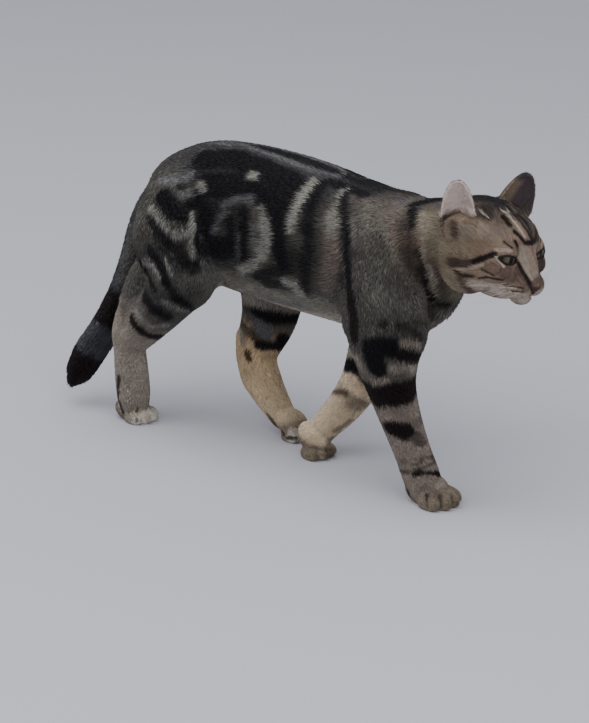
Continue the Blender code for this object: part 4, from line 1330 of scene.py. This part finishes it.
def tufts_mesh(name, roots, normals, at, colours, places, random):
    """Thin three-sided tufts, each closed, lying along the coat and rising to its depth."""
    count = len(roots)
    hair = at["hair"]
    length = hair[:, 0] * random.uniform(0.75, 1.2, count)
    rise = hair[:, 1] * random.uniform(0.55, 1.0, count)
    wide = hair[:, 2] * random.uniform(0.8, 1.25, count)
    lie = at["lie"] - normals * (at["lie"] * normals).sum(1, keepdims=True)
    lie = unit(lie)
    side = np.cross(normals, lie)
    swing = random.normal(0, TUFT_SWING, count)
    lie = lie * np.cos(swing)[:, None] + side * np.sin(swing)[:, None]
    side = np.cross(normals, lie)
    reach = np.sqrt(np.maximum(length**2 - rise**2, 0.01))
    base = roots - normals * ROOT_SUNK
    thick = TUFT_THICK * wide
    points = np.empty((count, 5, 3))
    points[:, 0] = base - side * (wide / 2)[:, None]
    points[:, 1] = base + side * (wide / 2)[:, None]
    points[:, 2] = base - normals * (0.3 * thick)[:, None]
    points[:, 3] = roots + lie * (0.42 * reach)[:, None] + normals * (0.62 * rise + thick)[:, None]
    points[:, 4] = roots + lie * reach[:, None] + normals * rise[:, None]
    points[:, :, 2] = np.maximum(points[:, :, 2], 0.01)
    pattern = np.array([(0, 1, 3), (0, 3, 4), (3, 1, 4), (0, 4, 2), (2, 4, 1), (0, 2, 1)])
    triangles = (pattern[None] + 5 * np.arange(count)[:, None, None]).reshape(-1, 3)
    light = random.normal(1.0, 0.12, count).clip(0.7, 1.35)
    ticked = random.random(count)
    light = np.where(ticked < 0.1, light * 0.62, np.where(ticked > 0.95, light * 1.35, light))
    # Along each tuft the colour is darker at the root, as painted shade deep in the coat, and a little
    # lighter at the tip.
    shades = np.array([0.75, 0.75, 0.7, 1.0, 1.12])
    rows = (colours * light[:, None])[:, None, :] * shades[None, :, None]
    across = np.array([-1, 1, 0, 0, 0]) * PATCH / 2
    along = np.array([-1, -1, -0.8, 0, 1]) * PATCH / 2
    uv = places[:, None, :] + np.stack([across, along], 1)[None]
    flat = carried(TO_MODEL, points.reshape(-1, 3))
    return array_mesh(name, flat, triangles, rows.reshape(-1, 3), uv.reshape(-1, 2))


def corner_rows(mesh):
    """The mesh's triangles as rows of three points."""
    mesh.calc_loop_triangles()
    flat = np.empty(len(mesh.loop_triangles) * 3, dtype=np.int32)
    mesh.loop_triangles.foreach_get("vertices", flat)
    return flat.reshape(-1, 3)


def sown(points, triangles, spacing, random):
    """Random places on the triangles, about one for each square of the spacing."""
    a, b, c = (points[triangles[:, k]] for k in range(3))
    area = 0.5 * np.linalg.norm(np.cross(b - a, c - a), axis=1)
    wanted = area / spacing[triangles].mean(1) ** 2
    count = np.floor(wanted + random.random(len(wanted))).astype(int)
    rows = np.repeat(np.arange(len(triangles)), count)
    first = np.sqrt(random.random(len(rows)))
    second = random.random(len(rows))
    shares = np.stack([1 - first, first * (1 - second), first * second], 1)
    return rows, shares


MULTIPLY = {"data_type": "RGBA", "blend_type": "MULTIPLY"}
# The eye's colours from its middle out to the rim, as shares of the ball's radius.
IRIS_RINGS = (
    (0.0, "#584f3e"), (0.35, "#544a3a"), (0.55, "#433a2d"),
    (0.66, "#2c251d"), (0.75, "#15110d"), (1.0, "#120e0c"),
)
# How many times taller than wide the pupil is, where its edge is, and how far in to the nose both eyes look.
PUPIL_NARROW = 2.2
PUPIL_EDGE = (0.38, 0.43)
EYES_TURNED = 0.13
# Fine hairs in the skin's bump: so many to a metre, and how far they stand out.
HAIRS_A_METRE = 900.0
HAIRS_STAND_OUT = 0.0006


def feed(tree, node, **inputs):
    """Sets or links the node's inputs: i0 is the first, and an underscore stands for a space."""
    for name, value in inputs.items():
        socket = node.inputs[int(name[1:]) if name[1:].isdigit() else name.replace("_", " ")]
        if isinstance(value, bpy.types.NodeSocket):
            tree.links.new(value, socket)
        else:
            socket.default_value = value
    return node


def add(tree, kind, settings=(), **inputs):
    """A node with its settings, its values and its links."""
    node = tree.nodes.new(kind)
    for name, value in dict(settings).items():
        setattr(node, name, value)
    return feed(tree, node, **inputs)


def new_material(name, **inputs):
    """A material, its tree and its shader with these inputs."""
    material = bpy.data.materials.new(name)
    material.use_nodes = True
    tree = material.node_tree
    return material, tree, feed(tree, tree.nodes["Principled BSDF"], **inputs)


def plain_material(name, code, rough, ior=1.5):
    """A material of one colour all over."""
    return new_material(name, Base_Color=(*linear(code), 1), Roughness=rough, IOR=ior)[0]


def fur_material():
    """Short guard hair, coloured by the coat's own markings, with the soft shine of a lying coat."""
    material, tree, shader = new_material("short_guard_hair", Roughness=0.6, IOR=1.55, Specular_IOR_Level=0.2)
    coat = add(tree, "ShaderNodeAttribute", {"attribute_name": "coat"})
    feed(tree, shader, Base_Color=coat.outputs["Color"])
    return material


def skin_material():
    """Skin under short flat fur: the markings, with a bump of fine hairs about 1 mm apart."""
    material, tree, shader = new_material("short_fur_skin", Roughness=0.7, IOR=1.5, Specular_IOR_Level=0.2)
    coat = add(tree, "ShaderNodeAttribute", {"attribute_name": "coat"})
    where = add(tree, "ShaderNodeTexCoord").outputs["Object"]
    noisy = add(tree, "ShaderNodeTexNoise", Vector=where, Scale=HAIRS_A_METRE, Detail=3.0, Roughness=0.6)
    hairs = noisy.outputs["Fac"]
    bump = add(tree, "ShaderNodeBump", Height=hairs, Strength=0.35, Distance=HAIRS_STAND_OUT)
    shade = add(tree, "ShaderNodeMapRange", Value=hairs, To_Min=0.75, To_Max=1.2).outputs["Result"]
    tint = add(tree, "ShaderNodeMix", MULTIPLY, i0=1.0, i6=coat.outputs["Color"], i7=shade)
    feed(tree, shader, Normal=bump.outputs["Normal"], Base_Color=tint.outputs[2])
    return material


def eye_material():
    """A living eye under its wet cornea: olive iris with radial fibres, an upright pupil and a dark rim."""
    material, tree, shader = new_material(
        "wet_cornea_eye", Roughness=0.25, Specular_IOR_Level=0.1, Coat_Weight=0.12, Coat_Roughness=0.03
    )
    gaze = add(tree, "ShaderNodeAttribute", {"attribute_name": "gaze"}).outputs["Vector"]
    x, y, _ = add(tree, "ShaderNodeSeparateXYZ", Vector=gaze).outputs
    narrow = add(tree, "ShaderNodeMath", {"operation": "MULTIPLY"}, i0=x, i1=PUPIL_NARROW).outputs[0]
    squashed = add(tree, "ShaderNodeCombineXYZ", X=narrow, Y=y).outputs[0]
    upright = add(tree, "ShaderNodeVectorMath", {"operation": "LENGTH"}, i0=squashed).outputs["Value"]
    first, last = PUPIL_EDGE
    pupil = add(tree, "ShaderNodeMapRange", Value=upright, From_Min=first, From_Max=last).outputs["Result"]
    out = add(tree, "ShaderNodeVectorMath", {"operation": "LENGTH"}, i0=gaze).outputs["Value"]
    ramp = add(tree, "ShaderNodeValToRGB", Fac=out)
    while len(ramp.color_ramp.elements) < len(IRIS_RINGS):
        ramp.color_ramp.elements.new(0.5)
    for element, (place, code) in zip(ramp.color_ramp.elements, IRIS_RINGS):
        element.position = place
        element.color = (*linear(code), 1)
    turn = add(tree, "ShaderNodeMath", {"operation": "ARCTAN2"}, i0=y, i1=x).outputs[0]
    fan = add(tree, "ShaderNodeCombineXYZ", X=turn, Y=out).outputs[0]
    fibres = add(tree, "ShaderNodeTexNoise", Vector=fan, Scale=9.0, Detail=4.0, Distortion=0.3).outputs["Fac"]
    streak = add(tree, "ShaderNodeMapRange", Value=fibres, To_Min=0.6, To_Max=1.5).outputs["Result"]
    iris = add(tree, "ShaderNodeMix", MULTIPLY, i0=1.0, i6=ramp.outputs["Color"], i7=streak).outputs[2]
    eye = add(tree, "ShaderNodeMix", {"data_type": "RGBA"}, i0=pupil, i6=(0.002, 0.002, 0.002, 1), i7=iris)
    feed(tree, shader, Base_Color=eye.outputs[2])
    return material


def finished(piece, material, slot, *replaced):
    """Dresses a piece of the model, which rides on the body."""
    piece.data.materials.clear()
    piece.data.materials.append(material)
    if replaced:
        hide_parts(*replaced)
    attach(piece, "root")


def to_model(mesh):
    """The mesh, smoothly shaded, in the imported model's frame and size."""
    mesh.shade_smooth()
    mesh.transform(TO_MODEL)
    mesh.update()
    return mesh


def make_eye(side):
    """An eyeball with its cornea's bulge, and the map of the way it looks."""
    bm = bmesh.new()
    bmesh.ops.create_uvsphere(bm, u_segments=48, v_segments=32, radius=EYE_RADIUS)
    bmesh.ops.rotate(bm, verts=bm.verts, cent=(0, 0, 0), matrix=Matrix.Rotation(math.radians(90), 3, "Y"))
    for vert in bm.verts:
        out = math.hypot(vert.co.y, vert.co.z) / EYE_RADIUS
        if vert.co.x > 0 and out < CORNEA_REACH:
            vert.co.x += CORNEA_RISE * (1 - (out / CORNEA_REACH) ** 2)
    mesh = as_mesh(bm, "eye")
    points = coords(mesh) / EYE_RADIUS
    behind = np.where(points[:, 0] > 0, 0.0, 2.0)
    gaze = np.stack([points[:, 1] + side * EYES_TURNED, points[:, 2], behind], 1)
    layer = mesh.attributes.new("gaze", "FLOAT_VECTOR", "POINT")
    layer.data.foreach_set("vector", gaze.astype(np.float32).ravel())
    mesh.transform(eye_place(side))
    return to_model(mesh)


def make_lid_rims():
    """The bare margin of both eyes' lids, a thin cord round each opening."""
    bm = bmesh.new()
    for side in (-1, 1):
        rings = []
        for i in range(41):
            across, rise = lid_edge(2 * math.pi * i / 40)
            flat = Vector((0, across * 0.99, rise * 0.97))
            flat.x = math.sqrt(max((EYE_RADIUS + 0.035) ** 2 - flat.y**2 - flat.z**2, 0))
            rings.append(flat)
        loops = []
        for i in range(40):
            along = (rings[(i + 1) % 40] - rings[i - 1]).normalized()
            out = rings[i].normalized()
            across = (out - along * out.dot(along)).normalized()
            turn = Matrix((across, along.cross(across), along)).transposed().to_4x4()
            ring = Matrix.Translation(rings[i]) @ turn @ Matrix.Diagonal((*RIM_SIZE, 1, 1))
            loops.append(ring_edges(bm, 8, eye_place(side) @ ring))
        for i in range(40):
            bmesh.ops.bridge_loops(bm, edges=loops[i - 1] + loops[i])
    return to_model(as_mesh(bm, "lid_rims"))


def make_whiskers(random):
    """Whiskers in rows on the pads, and a few above each eye, each a tapered closed thread."""
    bm = bmesh.new()
    for side in (-1, 1):
        starts = []
        for row in range(3):
            for k in range(3):
                root = Vector((3.3 + 0.36 * k, 1.6 - 0.2 * k, -1.5 - 0.26 * row - 0.05 * k))
                way = Vector((0.05 - 0.1 * k, 1.0, 0.1 - 0.2 * row))
                starts.append((root, way, 3.9 - 0.35 * k - 0.3 * row))
        for k in range(2):
            root = Vector((2.35 - 0.3 * k, 1.45 + 0.2 * k, 1.35))
            starts.append((root, Vector((0.4 - 0.3 * k, 0.6, 1.0)), 1.7))
        for root, way, length in starts:
            way = way.normalized()
            length *= random.uniform(0.85, 1.1)
            rings = []
            for i in range(9):
                t = i / 8
                centre = root + way * length * t + WHISKER_BEND * t * t * length
                thick = WHISKER_RADIUS * (1 - t) ** 0.8 + WHISKER_TIP
                rings.append((centre.x, side * centre.y, centre.z, thick, thick))
            tube(bm, [HEAD_PLACE @ matrix for matrix in ring_frames(rings, Vector((0, 0, 1)))], 5)
    return to_model(as_mesh(bm, "whiskers"))


FLESH = [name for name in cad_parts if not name.startswith("eye")]

skin = make_skin()
thinned(skin, SKIN_TRIANGLES)
work_face(skin)
stand(skin)
# The forms reach the coat's tips, so the skin goes in by the coat's depth.
skin_points = coords(skin.data)
coat_depth = describe(skin_points)["hair"][:, 1:2]
set_coords(skin.data, skin_points - normals_of(skin.data) * coat_depth)
open_lids(skin)

skin_points = coords(skin.data)
skin_normals = normals_of(skin.data)
about = describe(skin_points)
BODY_LAID = laid_marks(MARKS, skin.data)
HEAD_LAID = laid_marks(HEAD_MARKS, skin.data)
add_colours(skin.data, coat_colours(skin_points, about))
corners = corner_rows(skin.data)

random = np.random.default_rng(7)
rows, shares = sown(skin_points, corners, about["hair"][:, 3], random)


def between(values):
    """The skin's values at the sown places."""
    picked = values[corners[rows]]
    return (picked * shares.reshape(shares.shape + (1,) * (picked.ndim - 2))).sum(1)


roots = between(skin_points)
root_normals = unit(between(skin_normals))
at_roots = {name: between(values) for name, values in about.items() if name != "rings"}
at_roots["rings"] = about["rings"][corners[rows, 0]]
# No tufts on the lids' edge, the nose and the soles, and half as many in the ears.
keep = (at_roots["lid"] > 0.1) & (at_roots["nose"] < 0.5) & (roots[:, 2] > 0.12)
keep &= ~((at_roots["ear"] > 0.5) & (at_roots["inside"] > 0.5) & (random.random(len(roots)) > 0.5))
roots, root_normals = roots[keep], root_normals[keep]
at_roots = {name: values[keep] for name, values in at_roots.items()}
lie = at_roots["lie"] - root_normals * (at_roots["lie"] * root_normals).sum(1, keepdims=True)
# A tuft takes the colour that the coat has at its own middle.
middles = roots + unit(lie) * 0.45 * at_roots["hair"][:, :1]
root_colours = coat_colours(middles, at_roots)
root_places = unwrapped(roots, at_roots)
owners = at_roots["weight"].argmax(1)

guard_hair = fur_material()
for name, (lines, side, slot) in PIECES.items():
    chosen = np.isin(owners, [NAMES.index(line) for line in lines])
    if side:
        chosen &= roots[:, 1] * side >= 0
    part_at = {key: values[chosen] for key, values in at_roots.items()}
    part = (roots[chosen], root_normals[chosen], part_at, root_colours[chosen], root_places[chosen])
    finished(placed(name, tufts_mesh(name, *part, random)), guard_hair, slot)

to_model(skin.data)
finished(skin, skin_material(), "torso", *FLESH)
wet_eye = eye_material()
finished(placed("eyeball_right", make_eye(-1)), wet_eye, "eye_right", "eye_right")
finished(placed("eyeball_left", make_eye(1)), wet_eye, "eye_left", "eye_left")
# Bare lid skin is moist, so its black has a soft shine.
finished(placed("lid_rims", make_lid_rims()), plain_material("moist_lid_skin", "#191412", 0.35), "head")
# Keratin whiskers are stiff, white and a little shiny.
keratin = plain_material("whisker_keratin", "#b9b2a8", 0.35, 1.55)
finished(placed("whiskers", make_whiskers(random)), keratin, "head")


def make_floor():
    """A plain pale floor."""
    bm = bmesh.new()
    bmesh.ops.create_grid(bm, x_segments=1, y_segments=1, size=8)
    floor = placed("floor", as_mesh(bm, "floor"))
    floor.data.materials.append(plain_material("pale_matt_floor", "#c2c2cb", 0.8))


def make_light(name, size, power, place):
    """A soft square light that faces the cat."""
    light = bpy.data.objects.new(name, bpy.data.lights.new(name, "AREA"))
    light.data.size = size
    light.data.energy = power
    light.location = place
    light.rotation_euler = (Vector(place) - Vector((0, 0, 0.15))).to_track_quat("Z", "Y").to_euler()
    bpy.context.scene.collection.objects.link(light)


def make_camera():
    """The camera, ahead of the cat's right shoulder and a little above it."""
    turn = Matrix((VIEW_RIGHT, VIEW_UP, VIEW_BACK)).transposed().to_4x4()
    camera = bpy.data.objects.new("camera", bpy.data.cameras.new("camera"))
    camera.matrix_world = Matrix.Translation(TO_MODEL @ VIEW_FROM) @ turn
    camera.data.sensor_width = SENSOR
    camera.data.lens = LENS
    bpy.context.scene.collection.objects.link(camera)
    bpy.context.scene.camera = camera


make_floor()
make_light("sky_light", 3.0, 60, (0.3, -0.8, 2.4))
make_light("side_light", 2.0, 25, (-1.6, -1.8, 1.2))
make_light("front_light", 2.0, 18, (2.4, -0.6, 1.0))
make_camera()
world = bpy.data.worlds.new("studio")
world.use_nodes = True
feed(world.node_tree, world.node_tree.nodes["Background"], Color=(0.8, 0.82, 0.86, 1), Strength=0.55)
bpy.context.scene.world = world
